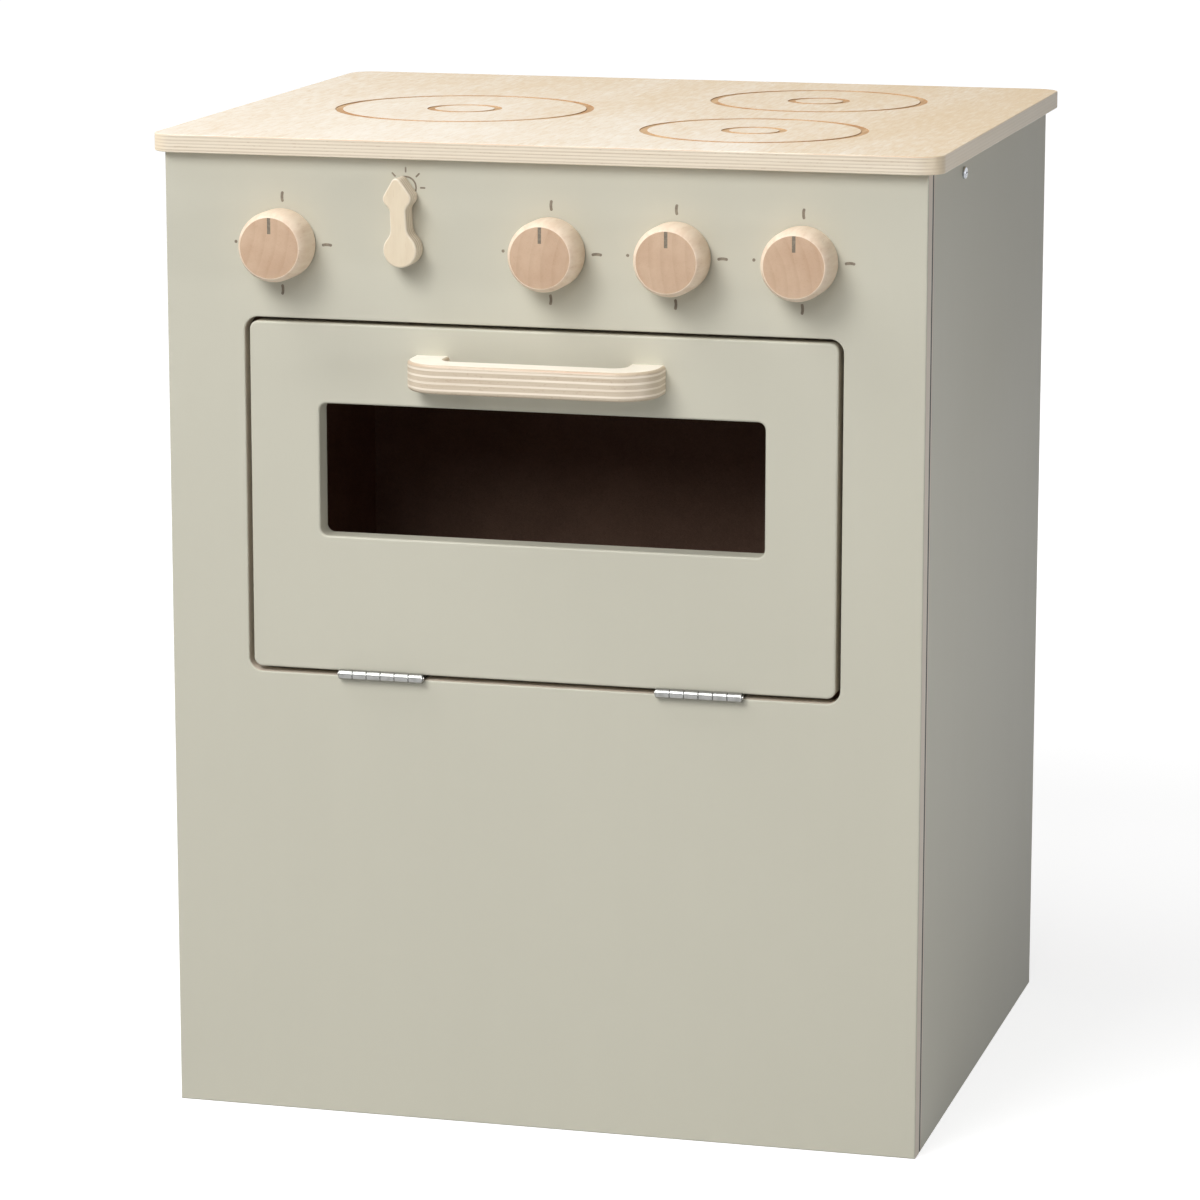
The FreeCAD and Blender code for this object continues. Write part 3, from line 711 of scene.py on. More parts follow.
@dataclass
class Form:
    """A mesh being modelled, with a pen for outlines and the operations that the pieces share."""

    mesh: bmesh.types.BMesh = field(init=False, default_factory=bmesh.new)
    pen: BMVert | None = field(init=False, default=None)

    def start(self, point: Vector) -> BMVert:
        """Puts the pen down at the first point of an outline."""
        self.pen = bmesh.ops.create_vert(self.mesh, co=point)["vert"][0]
        return self.pen

    def line(self, end: Vector) -> BMVert:
        """Draws a straight edge.

        Args:
            end: where the pen goes.

        Returns:
            The new point.
        """
        made = bmesh.ops.extrude_vert_indiv(self.mesh, verts=[self.pen])["verts"]
        bmesh.ops.translate(self.mesh, verts=made, vec=end - self.pen.co)
        self.pen = made[0]
        return self.pen

    def arc(self, centre: Vector, axis: Vector, angle: float, steps: int) -> None:
        """Draws a round stretch of so many steps about an axis through a centre."""
        made = bmesh.ops.spin(self.mesh, geom=[self.pen], cent=centre, axis=axis, angle=angle, steps=steps)
        self.pen = next(item for item in made["geom_last"] if isinstance(item, BMVert))

    def band(self, near: Vector, far: Vector, centre: Vector, start: float, angle: float,
             steps: int) -> None:
        """Draws a flat band, bent about an axis along Y.

        Args:
            near: one side of the band, before the turn to its start.
            far: its other side.
            centre: the point that it bends round.
            start: how far its start is turned, in radians.
            angle: how far the band goes on from there.
            steps: the number of its faces.
        """
        ends = [self.start(near), self.line(far)]
        turn = Matrix.Rotation(start, 3, "Y")
        bmesh.ops.rotate(self.mesh, verts=ends, cent=centre, matrix=turn)
        bmesh.ops.spin(self.mesh, geom=[*ends, ends[0].link_edges[0]], cent=centre, axis=AXIS_Y, angle=angle,
                       steps=steps)

    def merge(self) -> None:
        """Joins points that lie together."""
        bmesh.ops.remove_doubles(self.mesh, verts=self.mesh.verts, dist=MERGE)

    def fill(self) -> BMFace:
        """Closes the outline and fills it with one face."""
        self.merge()
        return bmesh.ops.contextual_create(self.mesh, geom=self.mesh.edges[:])["faces"][0]

    def raise_faces(self, faces: Iterable[BMFace], step: Vector) -> list[BMFace]:
        """Extrudes faces by a step.

        Args:
            faces: the faces to extrude.
            step: how far they go.

        Returns:
            The faces at the far end.
        """
        made = bmesh.ops.extrude_face_region(self.mesh, geom=list(faces))["geom"]
        verts = [item for item in made if isinstance(item, BMVert)]
        bmesh.ops.translate(self.mesh, verts=verts, vec=step)
        return [item for item in made if isinstance(item, BMFace)]

    def round(self, items: Iterable[BMEdge | BMVert], radius: float, segments: int,
              kind: Rounding = Rounding.EDGES) -> None:
        """Rounds some edges, or the corners of flat faces."""
        bmesh.ops.bevel(self.mesh, geom=list(items), offset=radius, offset_type="OFFSET", affect=kind.value,
                        segments=segments, profile=0.5, material=-1, clamp_overlap=kind is Rounding.EDGES)

    def turn(self, outline: Sequence[BMVert | BMEdge], centre: Vector, axis: Vector, steps: int) -> None:
        """Turns an outline all the way round an axis through a centre, into so many strips of skin."""
        bmesh.ops.spin(self.mesh, geom=outline, cent=centre, axis=axis, angle=math.tau, steps=steps,
                       use_merge=True)

    def whole(self) -> list[BMVert | BMEdge]:
        """All points and edges drawn so far."""
        return self.mesh.verts[:] + self.mesh.edges[:]

    def outwards(self) -> None:
        """Points every face outwards."""
        bmesh.ops.recalc_face_normals(self.mesh, faces=self.mesh.faces)

    def open_edges(self) -> list[BMEdge]:
        """The edges round the openings of the skin."""
        return [edge for edge in self.mesh.edges if edge.is_boundary]

    def edges_where(self, test: Callable[[Vector, Vector], bool]) -> list[BMEdge]:
        """The edges whose two ends pass a test."""
        return [edge for edge in self.mesh.edges if test(edge.verts[0].co, edge.verts[1].co)]

    def paint_where(self, area: Area, test: Callable[[BMFace], bool]) -> None:
        """Gives some faces another of the piece's finishes.

        Args:
            area: the area that they belong to.
            test: tells whether a face is one of them.
        """
        for face in self.mesh.faces:
            if test(face):
                face.material_index = area

    def piece(self, name: str, finishes: Sequence[Finish], sharp: float = 40.0) -> bpy.types.Object:
        """Makes the finished object.

        Args:
            name: the piece's name.
            finishes: its finishes, by the faces' material number.
            sharp: edges that turn by more than this many degrees stay sharp.

        Returns:
            The object, at the origin.
        """
        data = bpy.data.meshes.new(name)
        self.mesh.to_mesh(data)
        self.mesh.free()
        data.shade_smooth()
        data.set_sharp_from_angle(angle=math.radians(sharp))
        for finish in finishes:
            data.materials.append(finish.material())
        made = bpy.data.objects.new(name, data)
        bpy.context.scene.collection.objects.link(made)
        return made


def seat(piece: bpy.types.Object, body: Body, slot: Slot, *nodes: str) -> None:
    """Ties a new piece to its body, and shades plywood smoothly between faces that stay flat.

    Args:
        piece: the new piece.
        body: the body that carries it.
        slot: the record's slot that the piece belongs to; only plywood changes its shading.
        nodes: the frame's nodes that it stands for.
    """
    if slot is Slot.PLYWOOD:
        modifier = piece.modifiers.new("even_normals", "WEIGHTED_NORMAL")
        modifier.keep_sharp = True
        modifier.weight = 100
    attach(piece, body.value)
    if nodes:
        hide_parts(*nodes)
    log.info("%s: %d faces, on %s", piece.name, len(piece.data.polygons), body.value)


def close_to(value: float, other: float) -> bool:
    """Whether two lengths are the same."""
    return abs(value - other) < SAME


@dataclass
class Fitted(Form):
    """A sub-assembly that is modelled to the box of one of the frame's nodes."""

    node: str

    def __post_init__(self) -> None:
        """Takes the box from the frame."""
        self.low, self.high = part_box(self.node)
        self.size = self.high - self.low
        self.middle = (self.low + self.high) / 2


@dataclass
class Hob:
    """One hob engraved in the worktop, an outer and an inner ring."""

    x: float
    y: float
    outer: float
    inner: float


@dataclass
class Worktop(Fitted):
    """The plywood worktop with its rounded corners and engraved hobs."""

    corner: float = 13.0 * MM
    corner_steps: int = 12
    edge: float = 0.6 * MM
    edge_steps: int = 4
    edge_normals: Pair = (-0.995, 0.6)
    groove_width: float = 4.0 * MM
    groove_depth: float = 0.4 * MM
    groove_steps: int = 160
    large_outer: float = 67.3 * MM
    large_inner: float = 19.5 * MM
    large_side_margin: float = 50.0 * MM
    large_front_margin: float = 91.0 * MM
    small_outer: float = 57.3 * MM
    small_inner: float = 16.5 * MM
    small_side_margin: float = 55.7 * MM
    small_front_margin: float = 36.0 * MM
    small_rear_margin: float = 39.0 * MM
    plies: int = 11
    cross_share: float = 0.36
    # Painted glare and shade across the top: paler at the front left, warmer and darker towards the back
    # right.
    painted_light_slope: Pair = (0.36, 0.28)

    def hobs(self) -> list[Hob]:
        """The three hobs, placed by their margins from the worktop's edges.

        Returns:
            The large hob and the two small ones.
        """
        large, small = (self.large_outer, self.large_inner), (self.small_outer, self.small_inner)
        large_x = self.low.x + self.large_side_margin + self.large_outer
        small_x = self.high.x - self.small_side_margin - self.small_outer
        return [
            Hob(large_x, self.low.y + self.large_front_margin + self.large_outer, *large),
            Hob(small_x, self.low.y + self.small_front_margin + self.small_outer, *small),
            Hob(small_x, self.high.y - self.small_rear_margin - self.small_outer, *small),
        ]

    def board(self) -> None:
        """Models the board with its corners and rims rounded, and without its top face."""
        place = Matrix.Translation(self.middle) @ Matrix.Diagonal((*self.size, 1))
        bmesh.ops.create_cube(self.mesh, size=1.0, matrix=place)
        self.round(self.edges_where(lambda a, b: close_to(a.x, b.x) and close_to(a.y, b.y)),
                   self.corner, self.corner_steps)
        self.round(self.edges_where(lambda a, b: close_to(a.z, b.z)), self.edge, self.edge_steps)
        top = [face for face in self.mesh.faces if close_to(face.calc_center_median().z, self.high.z)]
        bmesh.ops.delete(self.mesh, geom=top, context="FACES_ONLY")
        down, up = self.edge_normals
        self.paint_where(Area.END, lambda face: down < face.normal.z < up)

    def groove(self, hob: Hob, radius: float) -> None:
        """Models one ring in the open top.

        Args:
            hob: the hob that the ring belongs to.
            radius: the ring's outer radius.
        """
        before = set(self.mesh.faces)
        centre = Vector((hob.x, hob.y, self.high.z))
        rim = self.start(centre + AXIS_X * radius)
        floor = self.line(rim.co - AXIS_Z * self.groove_depth)
        inner = self.line(floor.co - AXIS_X * self.groove_width)
        lip = self.line(inner.co + AXIS_Z * self.groove_depth)
        points = (rim, floor, inner, lip)
        edges = dict.fromkeys(edge for point in points for edge in point.link_edges)
        self.turn([*points, *edges], centre, AXIS_Z, self.groove_steps)
        self.paint_where(Area.ENGRAVED, lambda face: face not in before)

    def build(self) -> None:
        """Models the worktop and dresses it."""
        self.board()
        for hob in self.hobs():
            for radius in (hob.outer, hob.inner):
                self.groove(hob, radius)
        bmesh.ops.triangle_fill(self.mesh, edges=self.open_edges(), use_beauty=True, normal=AXIS_Z)
        self.merge()
        self.outwards()
        finishes = [
            BirchVeneer(name="birch_worktop_veneer", painted_light_slope=self.painted_light_slope),
            PlyEdges(name="birch_worktop_plies", start=self.low.z, thickness=self.size.z, plies=self.plies,
                     cross_share=self.cross_share, flank=self.high.x),
            BurntGroove(name="toasted_ring"),
        ]
        seat(self.piece("worktop_board", finishes), Body.CARCASS, Slot.PLYWOOD, self.node)


@dataclass
class Knob(Fitted):
    """One turned knob with a pointer engraved in its flat face."""

    pith: Place
    face_radius: float = 15.3 * MM
    face_round: float = 0.6 * MM
    face_steps: int = 4
    shoulder_depth: float = 7.0 * MM
    shoulder_steps: int = 12
    back_round: float = 0.8 * MM
    back_steps: int = 3
    turns: int = 128
    sharp: float = 30.0
    pointer_width: float = 1.75 * MM
    pointer_length: float = 8.0 * MM
    pointer_depth: float = 0.25 * MM
    cut_tolerance: float = 0.0001 * MM

    @property
    def axis(self) -> Vector:
        """The point of the knob's axis at its front face."""
        return Vector((self.middle.x, self.low.y, self.middle.z))

    def profile(self) -> float:
        """Draws the knob's side from the edge of its face to its back.

        Returns:
            The radius of the flat face.
        """
        base = self.size.x / 2
        flare = base - self.face_radius
        bend = (flare ** 2 + self.shoulder_depth ** 2) / (2 * flare)
        inset = bend - self.face_round
        drop = self.shoulder_depth - self.face_round
        flat = base - bend + math.sqrt(inset ** 2 - drop ** 2)
        lean = math.asin(drop / inset)
        rim = self.axis + AXIS_X * flat
        hub = self.axis + AXIS_X * (base - bend) + AXIS_Y * self.shoulder_depth
        back = self.axis + AXIS_Y * self.size.y
        side = back + AXIS_X * base - AXIS_Y * self.back_round
        self.start(rim)
        self.arc(rim + AXIS_Y * self.face_round, AXIS_Z, QUARTER - lean, self.face_steps)
        self.arc(hub, AXIS_Z, lean, self.shoulder_steps)
        self.line(side)
        self.arc(side - AXIS_X * self.back_round, AXIS_Z, QUARTER, self.back_steps)
        self.line(back)
        return flat

    def engrave(self, face: BMFace, flat: float) -> None:
        """Cuts the pointer into the flat face.

        Args:
            face: the knob's flat face.
            flat: the radius of that face.
        """
        half = self.pointer_width / 2
        foot = self.axis + AXIS_Z * (flat - self.pointer_length)
        strips = [face]
        for point, normal in ((self.axis - AXIS_X * half, AXIS_X), (self.axis + AXIS_X * half, AXIS_X),
                              (foot, AXIS_Z)):
            geometry = [item for strip in strips for item in (*strip.verts, *strip.edges, strip)]
            cut = bmesh.ops.bisect_plane(self.mesh, geom=list(dict.fromkeys(geometry)), plane_co=point,
                                         plane_no=normal, dist=self.cut_tolerance)["geom"]
            strips = [item for item in cut if isinstance(item, BMFace)]
        middles = {strip: strip.calc_center_median() - foot for strip in strips}
        pointer = [strip for strip, middle in middles.items() if abs(middle.x) < half and middle.z > 0]
        for strip in self.raise_faces(pointer, AXIS_Y * self.pointer_depth):
            strip.material_index = Area.ENGRAVED
        bmesh.ops.delete(self.mesh, geom=pointer, context="FACES_ONLY")
        self.outwards()

    def build(self) -> None:
        """Models the knob and dresses it."""
        flat = self.profile()
        self.turn(self.whole(), self.axis, AXIS_Y, self.turns)
        self.merge()
        self.outwards()
        face = bmesh.ops.contextual_create(self.mesh, geom=self.open_edges())["faces"][0]
        face.material_index = Area.END
        self.outwards()
        self.engrave(face, flat)
        end = BeechEnd(name="beech_end_" + self.node, centre=self.axis, pith=self.pith)
        finishes = [BeechSide(name="beech_side"), end, PrintedMark(name="dark_marking")]
        piece = self.piece(self.node + "_turning", finishes, self.sharp)
        seat(piece, Body(self.node), Slot.BEECH, self.node)


@dataclass
class DialMarks(Fitted):
    """The three curved strokes and the dot printed round a knob."""

    inner: float = 20.5 * MM
    outer: float = 25.8 * MM
    width: float = 1.4 * MM
    curve: float = 7.5 * MM
    steps: int = 8
    cap: float = 0.644 * MM
    cap_steps: int = 4
    film: float = 0.06 * MM
    turns: tuple[float, ...] = (0.0, 90.0, 180.0)
    dot_radius: float = 0.8 * MM
    dot_distance: float = 24.3 * MM
    dot_steps: int = 20

    def build(self) -> None:
        """Models the marks as a thin film of ink on the front panel."""
        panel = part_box("front_panel")[0].y
        axis = Vector((self.middle.x, panel, self.middle.z))
        for turn in self.turns:
            self.stroke(axis, math.radians(turn))
        place = Matrix.Translation(axis - AXIS_X * self.dot_distance) @ Matrix.Rotation(QUARTER, 4, "X")
        dot = bmesh.ops.create_circle(self.mesh, cap_ends=True, segments=self.dot_steps,
                                      radius=self.dot_radius, matrix=place)["verts"]
        self.raise_faces({face for vert in dot for face in vert.link_faces}, AXIS_Y * -self.film)
        self.outwards()
        piece = self.piece(self.node + "_dial_marks", [PrintedMark(name="dark_marking")])
        seat(piece, Body.CARCASS, Slot.PAINT)

    def stroke(self, axis: Vector, turn: float) -> None:
        """One curved stroke, turned clockwise about the knob's axis.

        Args:
            axis: the knob's axis on the panel.
            turn: the stroke's angle, in radians from upright.
        """
        before = set(self.mesh.verts)
        middle = axis + AXIS_Z * (self.inner + self.outer) / 2
        half = AXIS_X * self.width / 2
        angle = (self.outer - self.inner) / self.curve
        self.band(middle - half, middle + half, middle + AXIS_X * self.curve, -angle / 2, angle, self.steps)
        strip = [vert for vert in self.mesh.verts if vert not in before]
        self.round([vert for vert in strip if len(vert.link_edges) == 2], self.cap, self.cap_steps,
                   Rounding.POINTS)
        verts = [vert for vert in self.mesh.verts if vert not in before]
        bmesh.ops.rotate(self.mesh, verts=verts, cent=axis, matrix=Matrix.Rotation(turn, 3, "Y"))
        self.raise_faces({face for vert in verts for face in vert.link_faces}, AXIS_Y * -self.film)


@dataclass
class LampSymbol(Form):
    """The lamp printed behind the light switch: a bulb with a cap, and rays round it."""

    centre_x: float = -67.9 * MM
    centre_z: float = 476.7 * MM
    radius: float = 5.3 * MM
    line_width: float = 0.85 * MM
    line_end: float = 0.34 * MM
    line_end_steps: int = 3
    ring_steps: int = 40
    gap: float = math.radians(50)
    ray_inner: float = 7.3 * MM
    ray_outer: float = 10.1 * MM
    rays: tuple[float, ...] = (-45.0, 0.0, 45.0, 90.0)
    cap_width: float = 3.4 * MM
    cap_drops: tuple[float, ...] = (6.4 * MM, 8.0 * MM)
    film: float = 0.06 * MM

    def build(self) -> None:
        """Models the symbol as a thin film of ink on the front panel."""
        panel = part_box("front_panel")[0].y
        centre = Vector((self.centre_x, panel, self.centre_z))
        foot = centre - AXIS_Z * self.radius
        half = AXIS_Z * self.line_width / 2
        self.band(foot + half, foot - half, centre, self.gap / 2, math.tau - self.gap, self.ring_steps)
        for angle in self.rays:
            self.bar(centre, math.radians(angle), self.ray_inner, self.ray_outer)
        for drop in self.cap_drops:
            end = centre - AXIS_Z * drop - AXIS_X * self.cap_width / 2
            self.bar(end, QUARTER, 0.0, self.cap_width)
        self.raise_faces(self.mesh.faces[:], AXIS_Y * -self.film)
        self.outwards()
        piece = self.piece("lamp_symbol", [PrintedMark(name="dark_marking")])
        seat(piece, Body.CARCASS, Slot.PAINT)

    def bar(self, centre: Vector, turn: float, start: float, end: float) -> None:
        """One short straight line of the symbol.

        Args:
            centre: the point that its turn is about.
            turn: its angle, clockwise from upright, in radians.
            start: distance of its near end from the centre.
            end: distance of its far end from the centre.
        """
        upright = Matrix.Translation(centre) @ Matrix.Rotation(turn, 4, "Y")
        middle = Matrix.Translation(AXIS_Z * (start + end) / 2) @ Matrix.Rotation(QUARTER, 4, "X")
        place = upright @ middle @ Matrix.Diagonal((self.line_width, end - start, 1, 1))
        made = bmesh.ops.create_grid(self.mesh, x_segments=1, y_segments=1, size=0.5, matrix=place)["verts"]
        self.round(made, self.line_end, self.line_end_steps, Rounding.POINTS)


@dataclass
class DoorHandle(Fitted):
    """The plywood door handle, a bracket cut from thick board, with soft rims."""

    foot: float = 18.0 * MM
    bar: float = 16.0 * MM
    outer_radius: float = 21.0 * MM
    inner_radius: float = 6.0 * MM
    outer_steps: int = 18
    inner_steps: int = 8
    edge: float = 1.8 * MM
    edge_steps: int = 5
    veneer_normal: float = 0.97
    veneer_seed: float = 0.31
    plies: int = 9
    cross_share: float = 0.66
    ply_phase: float = 1.0

    def at(self, x: float, y: float) -> Vector:
        """A point of the handle's lower face."""
        return Vector((x, y, self.low.z))

    def outline(self) -> None:
        """Draws the bracket as it is seen from above, from its left foot round to it again."""
        left, right, front, rear = self.low.x, self.high.x, self.low.y, self.high.y
        outer, inner = self.outer_radius, self.inner_radius
        left_in, right_in, front_in = left + self.foot, right - self.foot, front + self.bar
        self.start(self.at(left, rear))
        self.line(self.at(left, front + outer))
        self.arc(self.at(left + outer, front + outer), AXIS_Z, QUARTER, self.outer_steps)
        self.line(self.at(right - outer, front))
        self.arc(self.at(right - outer, front + outer), AXIS_Z, QUARTER, self.outer_steps)
        self.line(self.at(right, rear))
        self.line(self.at(right_in, rear))
        self.line(self.at(right_in, front_in + inner))
        self.arc(self.at(right_in - inner, front_in + inner), AXIS_Z, -QUARTER, self.inner_steps)
        self.line(self.at(left_in + inner, front_in))
        self.arc(self.at(left_in + inner, front_in + inner), AXIS_Z, -QUARTER, self.inner_steps)
        self.line(self.at(left_in, rear))
        self.line(self.at(left, rear))

    def on_rim(self, first: Vector, second: Vector) -> bool:
        """Whether an edge lies on the upper or lower rim, and not against the door."""
        on_door = close_to(first.y, self.high.y) and close_to(second.y, self.high.y)
        return close_to(first.z, second.z) and not on_door

    def build(self) -> None:
        """Models the handle and dresses it."""
        self.outline()
        self.raise_faces([self.fill()], AXIS_Z * self.size.z)
        self.outwards()
        self.round(self.edges_where(self.on_rim), self.edge, self.edge_steps)
        self.paint_where(Area.END, lambda face: abs(face.normal.z) < self.veneer_normal)
        finishes = [
            BirchVeneer(name="birch_handle_veneer", grain=Axis.X, pale=shade(253, 248, 237),
                        warm=shade(247, 240, 225), pore=shade(231, 215, 190), seed=self.veneer_seed),
            PlyEdges(name="birch_handle_plies", start=self.low.z, thickness=self.size.z, plies=self.plies,
                     cross_share=self.cross_share, phase=self.ply_phase, pale=shade(245, 233, 215),
                     tan=shade(204, 187, 163), toast=shade(206, 172, 146), relief=0.12 * MM),
        ]
        seat(self.piece("door_handle_bracket", finishes), Body.DOOR, Slot.PLYWOOD, self.node)


@dataclass
class SwitchLever(Fitted):
    """The light switch lever: a disc on its pivot, a slim waist and a pointed head, leaning a little."""

    disc: float = 8.5 * MM
    waist: float = 4.1 * MM
    waist_height: float = 11.0 * MM
    waist_top: float = 18.5 * MM
    shoulder: float = 7.2 * MM
    shoulder_height: float = 25.3 * MM
    shoulder_radius: float = 4.0 * MM
    tip_height: float = 35.4 * MM
    tip_radius: float = 2.6 * MM
    lean: float = math.radians(-3.0)
    edge: float = 1.0 * MM
    edge_steps: int = 4
    arc_steps: int = 14
    veneer_normal: float = 0.9
    veneer_seed: float = 0.83
    plies: int = 9

    @property
    def pivot(self) -> Vector:
        """The point of the lever's axis at its back face."""
        low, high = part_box("light_switch_dowel")
        return Vector(((low.x + high.x) / 2, self.high.y, (low.z + high.z) / 2))

    def bend(self, centre: Vector, end: Vector) -> None:
        """A round stretch of the outline, the short way to a given end.

        Args:
            centre: the arc's centre.
            end: the point that it turns to.
        """
        before = self.pen.co - centre
        after = end - centre
        angle = math.atan2(before.cross(after).dot(AXIS_Y), before.dot(after))
        self.arc(centre, AXIS_Y, angle, self.arc_steps)

    def half_outline(self) -> None:
        """Draws the right half from the foot of the disc to the tip, with the pivot at the origin."""
        climb = self.shoulder_height - self.waist_top
        step = self.shoulder - self.waist
        squares = self.waist ** 2 + self.waist_height ** 2 - self.disc ** 2
        lower_radius = squares / (2 * (self.disc - self.waist))
        upper_radius = (step ** 2 + climb ** 2) / (2 * step) - self.shoulder_radius
        waist = Vector((self.waist, 0, self.waist_height))
        waist_top = Vector((self.waist, 0, self.waist_top))
        lower = waist + AXIS_X * lower_radius
        upper = waist_top + AXIS_X * upper_radius
        shoulder = Vector((self.shoulder - self.shoulder_radius, 0, self.shoulder_height))
        tip = AXIS_Z * (self.tip_height - self.tip_radius)
        span = tip - shoulder
        turn = math.asin((self.shoulder_radius - self.tip_radius) / span.length)
        angle = math.atan2(span.z, span.x) - QUARTER + turn
        normal = Vector((math.cos(angle), 0, math.sin(angle)))
        self.start(AXIS_Z * -self.disc)
        self.bend(ORIGIN, lower.normalized() * self.disc)
        self.bend(lower, waist)
        self.line(waist_top)
        self.bend(upper, shoulder + (upper - shoulder).normalized() * self.shoulder_radius)
        self.bend(shoulder, shoulder + normal * self.shoulder_radius)
        self.line(tip + normal * self.tip_radius)
        self.bend(tip, AXIS_Z * self.tip_height)

    def build(self) -> None:
        """Models the lever and dresses it."""
        self.half_outline()
        bmesh.ops.mirror(self.mesh, geom=self.whole(), axis="X", merge_dist=MERGE)
        self.raise_faces([self.fill()], AXIS_Y * -self.size.y)
        self.outwards()
        self.round(self.edges_where(lambda a, b: close_to(a.y, b.y)), self.edge, self.edge_steps)
        self.paint_where(Area.END, lambda face: abs(face.normal.y) < self.veneer_normal)
        place = Matrix.Translation(self.pivot) @ Matrix.Rotation(self.lean, 4, "Y")
        bmesh.ops.transform(self.mesh, matrix=place, verts=self.mesh.verts)
        finishes = [
            BirchVeneer(name="birch_lever_veneer", grain=Axis.Z, pale=shade(231, 216, 190),
                        warm=shade(224, 207, 180), pore=shade(214, 194, 165), seed=self.veneer_seed),
            PlyEdges(name="birch_lever_plies", across=Axis.Y, start=self.low.y, thickness=self.size.y,
                     plies=self.plies),
        ]
        seat(self.piece("light_switch_cutout", finishes), Body.LIGHT_SWITCH, Slot.PLYWOOD, self.node)


@dataclass
class BoardWork:
    """The finishes of the frame's own boards and fittings, which keep their shapes."""

    door: Finish = BoardPaint(name="sage_door_paint")
    oven: Finish = FibreBoard(name="dark_oven_board")
    raw: Finish = FibreBoard(name="raw_back_board", first=shade(172, 139, 105), second=shade(198, 166, 130),
                             rough=(0.62, 0.82))
    pine: Finish = PlainWood(name="planed_pine")
    dowel: Finish = PlainWood(name="dowel_beech", grain=Axis.Y, pale=shade(226, 198, 160),
                              late=shade(198, 162, 122), line=260.0)
    hinge: Finish = PlatedSteel(name="plated_hinge")
    screw: Finish = PlatedSteel(name="zinc_screw", along=Axis.Y, colour=shade(204, 208, 214),
                                dull=shade(140, 143, 148), rough=(0.14, 0.32))
    catch: Finish = Moulded(name="brown_catch_plastic", first=scaled(shade(112, 90, 68), 0.86),
                            second=shade(112, 90, 68), fine=Cells(1600, 1600, 1600, 2.0, 0.6),
                            rough=(0.42, 0.62))
    magnet: Finish = Moulded(name="dark_ferrite", first=scaled(shade(66, 66, 68), 0.86),
                             second=shade(66, 66, 68), fine=Cells(2400, 2400, 2400, 2.0, 0.6),
                             rough=(0.52, 0.72))

    def finishes(self) -> dict[str, Finish]:
        """Plans the finishes of the kept nodes.

        Returns:
            Each kept node's finish, by node name.
        """
        front_low, front_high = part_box("front_panel")
        with_gap_shadow = BoardPaint(name="sage_carcass_paint", front=front_low.y, joint=front_high.y)
        plan = {name: with_gap_shadow for name in ("front_panel", "left_side_panel", "right_side_panel")}
        linings = ("oven_floor", "oven_ceiling", "oven_left_wall", "oven_right_wall", "oven_back_wall")
        plan |= {name: self.oven for name in linings}
        plan |= {"oven_door": self.door, "back_panel": self.raw, "base_panel": self.raw}
        plan |= {"front_top_rail": self.pine, "rear_top_rail": self.pine}
        plan |= {"catch_housing": self.catch, "catch_magnet": self.magnet}
        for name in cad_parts:
            if "hinge" in name and "screw" not in name:
                plan[name] = self.hinge
            elif "screw" in name or "washer" in name or name == "strike_plate":
                plan[name] = self.screw
            elif "dowel" in name:
                plan[name] = self.dowel
        return plan

    def build(self) -> None:
        """Dresses every kept node."""
        for name, finish in self.finishes().items():
            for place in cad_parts[name].material_slots:
                place.material = finish.material()
            log.info("%s: %s", name, finish.name)


@dataclass(frozen=True)
class Lamp:
    """One soft studio lamp, aimed at a point of the object."""

    name: str
    place: Place
    aim: Place
    size: float
    power: float
    spread: float = math.pi

    def build(self) -> None:
        """Makes the lamp."""
        data = bpy.data.lights.new(self.name, "AREA")
        data.shape = "DISK"
        data.size = self.size
        data.energy = self.power
        data.spread = self.spread
        made = bpy.data.objects.new(self.name, data)
        made.location = self.place
        made.rotation_euler = (Vector(self.aim) - Vector(self.place)).to_track_quat("-Z", "Y").to_euler()
        bpy.context.scene.collection.objects.link(made)


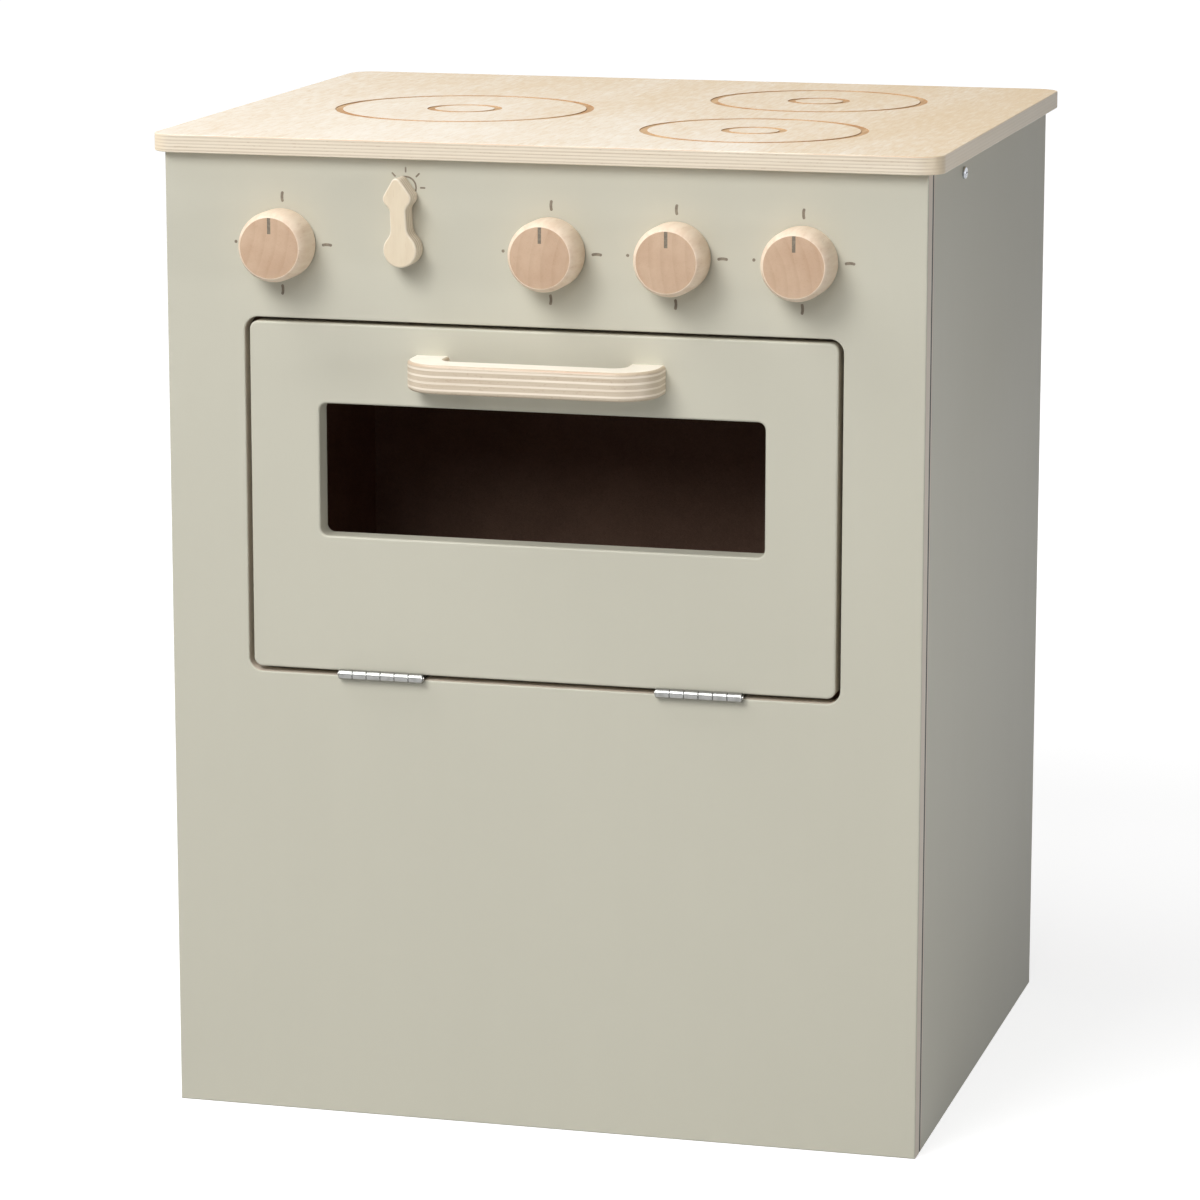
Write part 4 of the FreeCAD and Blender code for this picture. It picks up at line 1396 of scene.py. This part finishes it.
@dataclass
class Studio:
    """The floor, the backdrop light, the lamps and the camera."""

    floor_size: float = 14.0
    floor_tone: Pair = (0.46, 0.47)
    floor_glow: float = 0.80
    shadow_reach: Pair = (0.5, 1.8)
    sky: float = 0.09
    white: Colour = (1.0, 1.0, 1.0)
    camera_place: Place = (633.9 * MM, -2411.5 * MM, 758.3 * MM)
    camera_yaw: float = 0.2608
    camera_pitch: float = 0.2037
    camera_roll: float = -0.0006
    camera_reach: float = 50.0
    lens: float = 145.01
    sensor: float = 36.0
    lamps: tuple[Lamp, ...] = (
        Lamp("key_lamp", (-0.85, -2.25, 2.35), (0.0, -0.1, 0.25), 1.4, 54.0),
        Lamp("top_lamp", (-1.2, -0.4, 2.4), (-0.1, 0.0, 0.45), 1.3, 26.0),
        Lamp("front_lamp", (0.0, -3.2, 1.85), (0.0, 0.0, 0.25), 1.4, 28.5),
        Lamp("side_lamp", (1.6, -0.75, 0.45), (0.19, -0.30, 0.27), 0.5, 0.31, math.radians(40)),
    )

    def floor(self) -> None:
        """The pale floor, white to the camera where no shadow lies on it."""
        form = Form()
        bmesh.ops.create_grid(form.mesh, x_segments=4, y_segments=4, size=self.floor_size / 2)
        made = form.piece("floor", [])
        data = bpy.data.materials.new("pale_floor")
        data.use_nodes = True
        graph = Graph(data.node_tree)
        tone = graph.noise(Cells(3, 3, 3)).between(*self.floor_tone)
        colour = graph.node("ShaderNodeCombineColor", None, {"Red": tone, "Green": tone, "Blue": tone})
        matt = graph.node("ShaderNodeBsdfDiffuse", None, {"Color": colour.outputs["Color"]}).outputs["BSDF"]
        far = graph.distance(Axis.X, Axis.Y).rise(*self.shadow_reach)
        light = {"Color": self.white, "Strength": self.seen(graph) * far.between(self.floor_glow, 1.0)}
        glow = graph.node("ShaderNodeEmission", None, light).outputs["Emission"]
        both = graph.node("ShaderNodeAddShader", None, {"Shader": matt, "Shader_001": glow})
        graph.node("ShaderNodeOutputMaterial", None, {"Surface": both.outputs["Shader"]})
        made.data.materials.append(data)

    @staticmethod
    def seen(graph: Graph) -> Signal:
        """Tells what is looked at from light on the object.

        Args:
            graph: the graph of the floor or the world.

        Returns:
            1 for what the camera, a mirror or glass looks at, and 0 for the rest.
        """
        path = graph.node("ShaderNodeLightPath")
        camera, mirror, glass = (Signal(graph, path.outputs[f"Is {kind} Ray"])
                                 for kind in ("Camera", "Glossy", "Transmission"))
        return graph.math("MAXIMUM", graph.math("MAXIMUM", camera, mirror), glass)

    def world(self) -> None:
        """White to the camera, and an even soft light on the object."""
        data = bpy.data.worlds.new("studio")
        data.use_nodes = True
        graph = Graph(data.node_tree)
        strength = self.sky + self.seen(graph) * (1.0 - self.sky)
        glow = graph.node("ShaderNodeBackground", None, {"Color": self.white, "Strength": strength})
        graph.node("ShaderNodeOutputWorld", None, {"Surface": glow.outputs["Background"]})
        bpy.context.scene.world = data

    def camera(self) -> None:
        """The camera at the photograph's viewing angle."""
        yaw = Matrix.Rotation(self.camera_yaw, 4, "Z")
        pitch = Matrix.Rotation(QUARTER - self.camera_pitch, 4, "X")
        roll = Matrix.Rotation(-self.camera_roll, 4, "Z")
        data = bpy.data.cameras.new("camera")
        data.sensor_width = self.sensor
        data.lens = self.lens
        data.clip_end = self.camera_reach
        made = bpy.data.objects.new("camera", data)
        made.matrix_world = Matrix.Translation(self.camera_place) @ yaw @ pitch @ roll
        bpy.context.scene.collection.objects.link(made)
        bpy.context.scene.camera = made

    def build(self) -> None:
        """Sets up the whole studio."""
        self.floor()
        self.world()
        for lamp in self.lamps:
            lamp.build()
        self.camera()
        bpy.context.scene.view_settings.view_transform = "Standard"


def main() -> None:
    """Builds the stove's pieces and the studio, in order."""
    logging.basicConfig(level=logging.INFO, format="%(name)s %(message)s")
    BoardWork().build()
    Worktop("worktop").build()
    piths = {
        Body.OVEN_KNOB: (-0.055, 0.0, 0.012),
        Body.LEFT_HOB_KNOB: (0.060, 0.0, -0.010),
        Body.MIDDLE_HOB_KNOB: (0.075, 0.0, 0.006),
        Body.RIGHT_HOB_KNOB: (-0.050, 0.0, -0.015),
    }
    for body, pith in piths.items():
        Knob(body.value, pith).build()
        DialMarks(body.value).build()
    LampSymbol().build()
    SwitchLever("light_switch_lever").build()
    DoorHandle("door_handle").build()
    Studio().build()


if __name__ == "__main__":
    main()
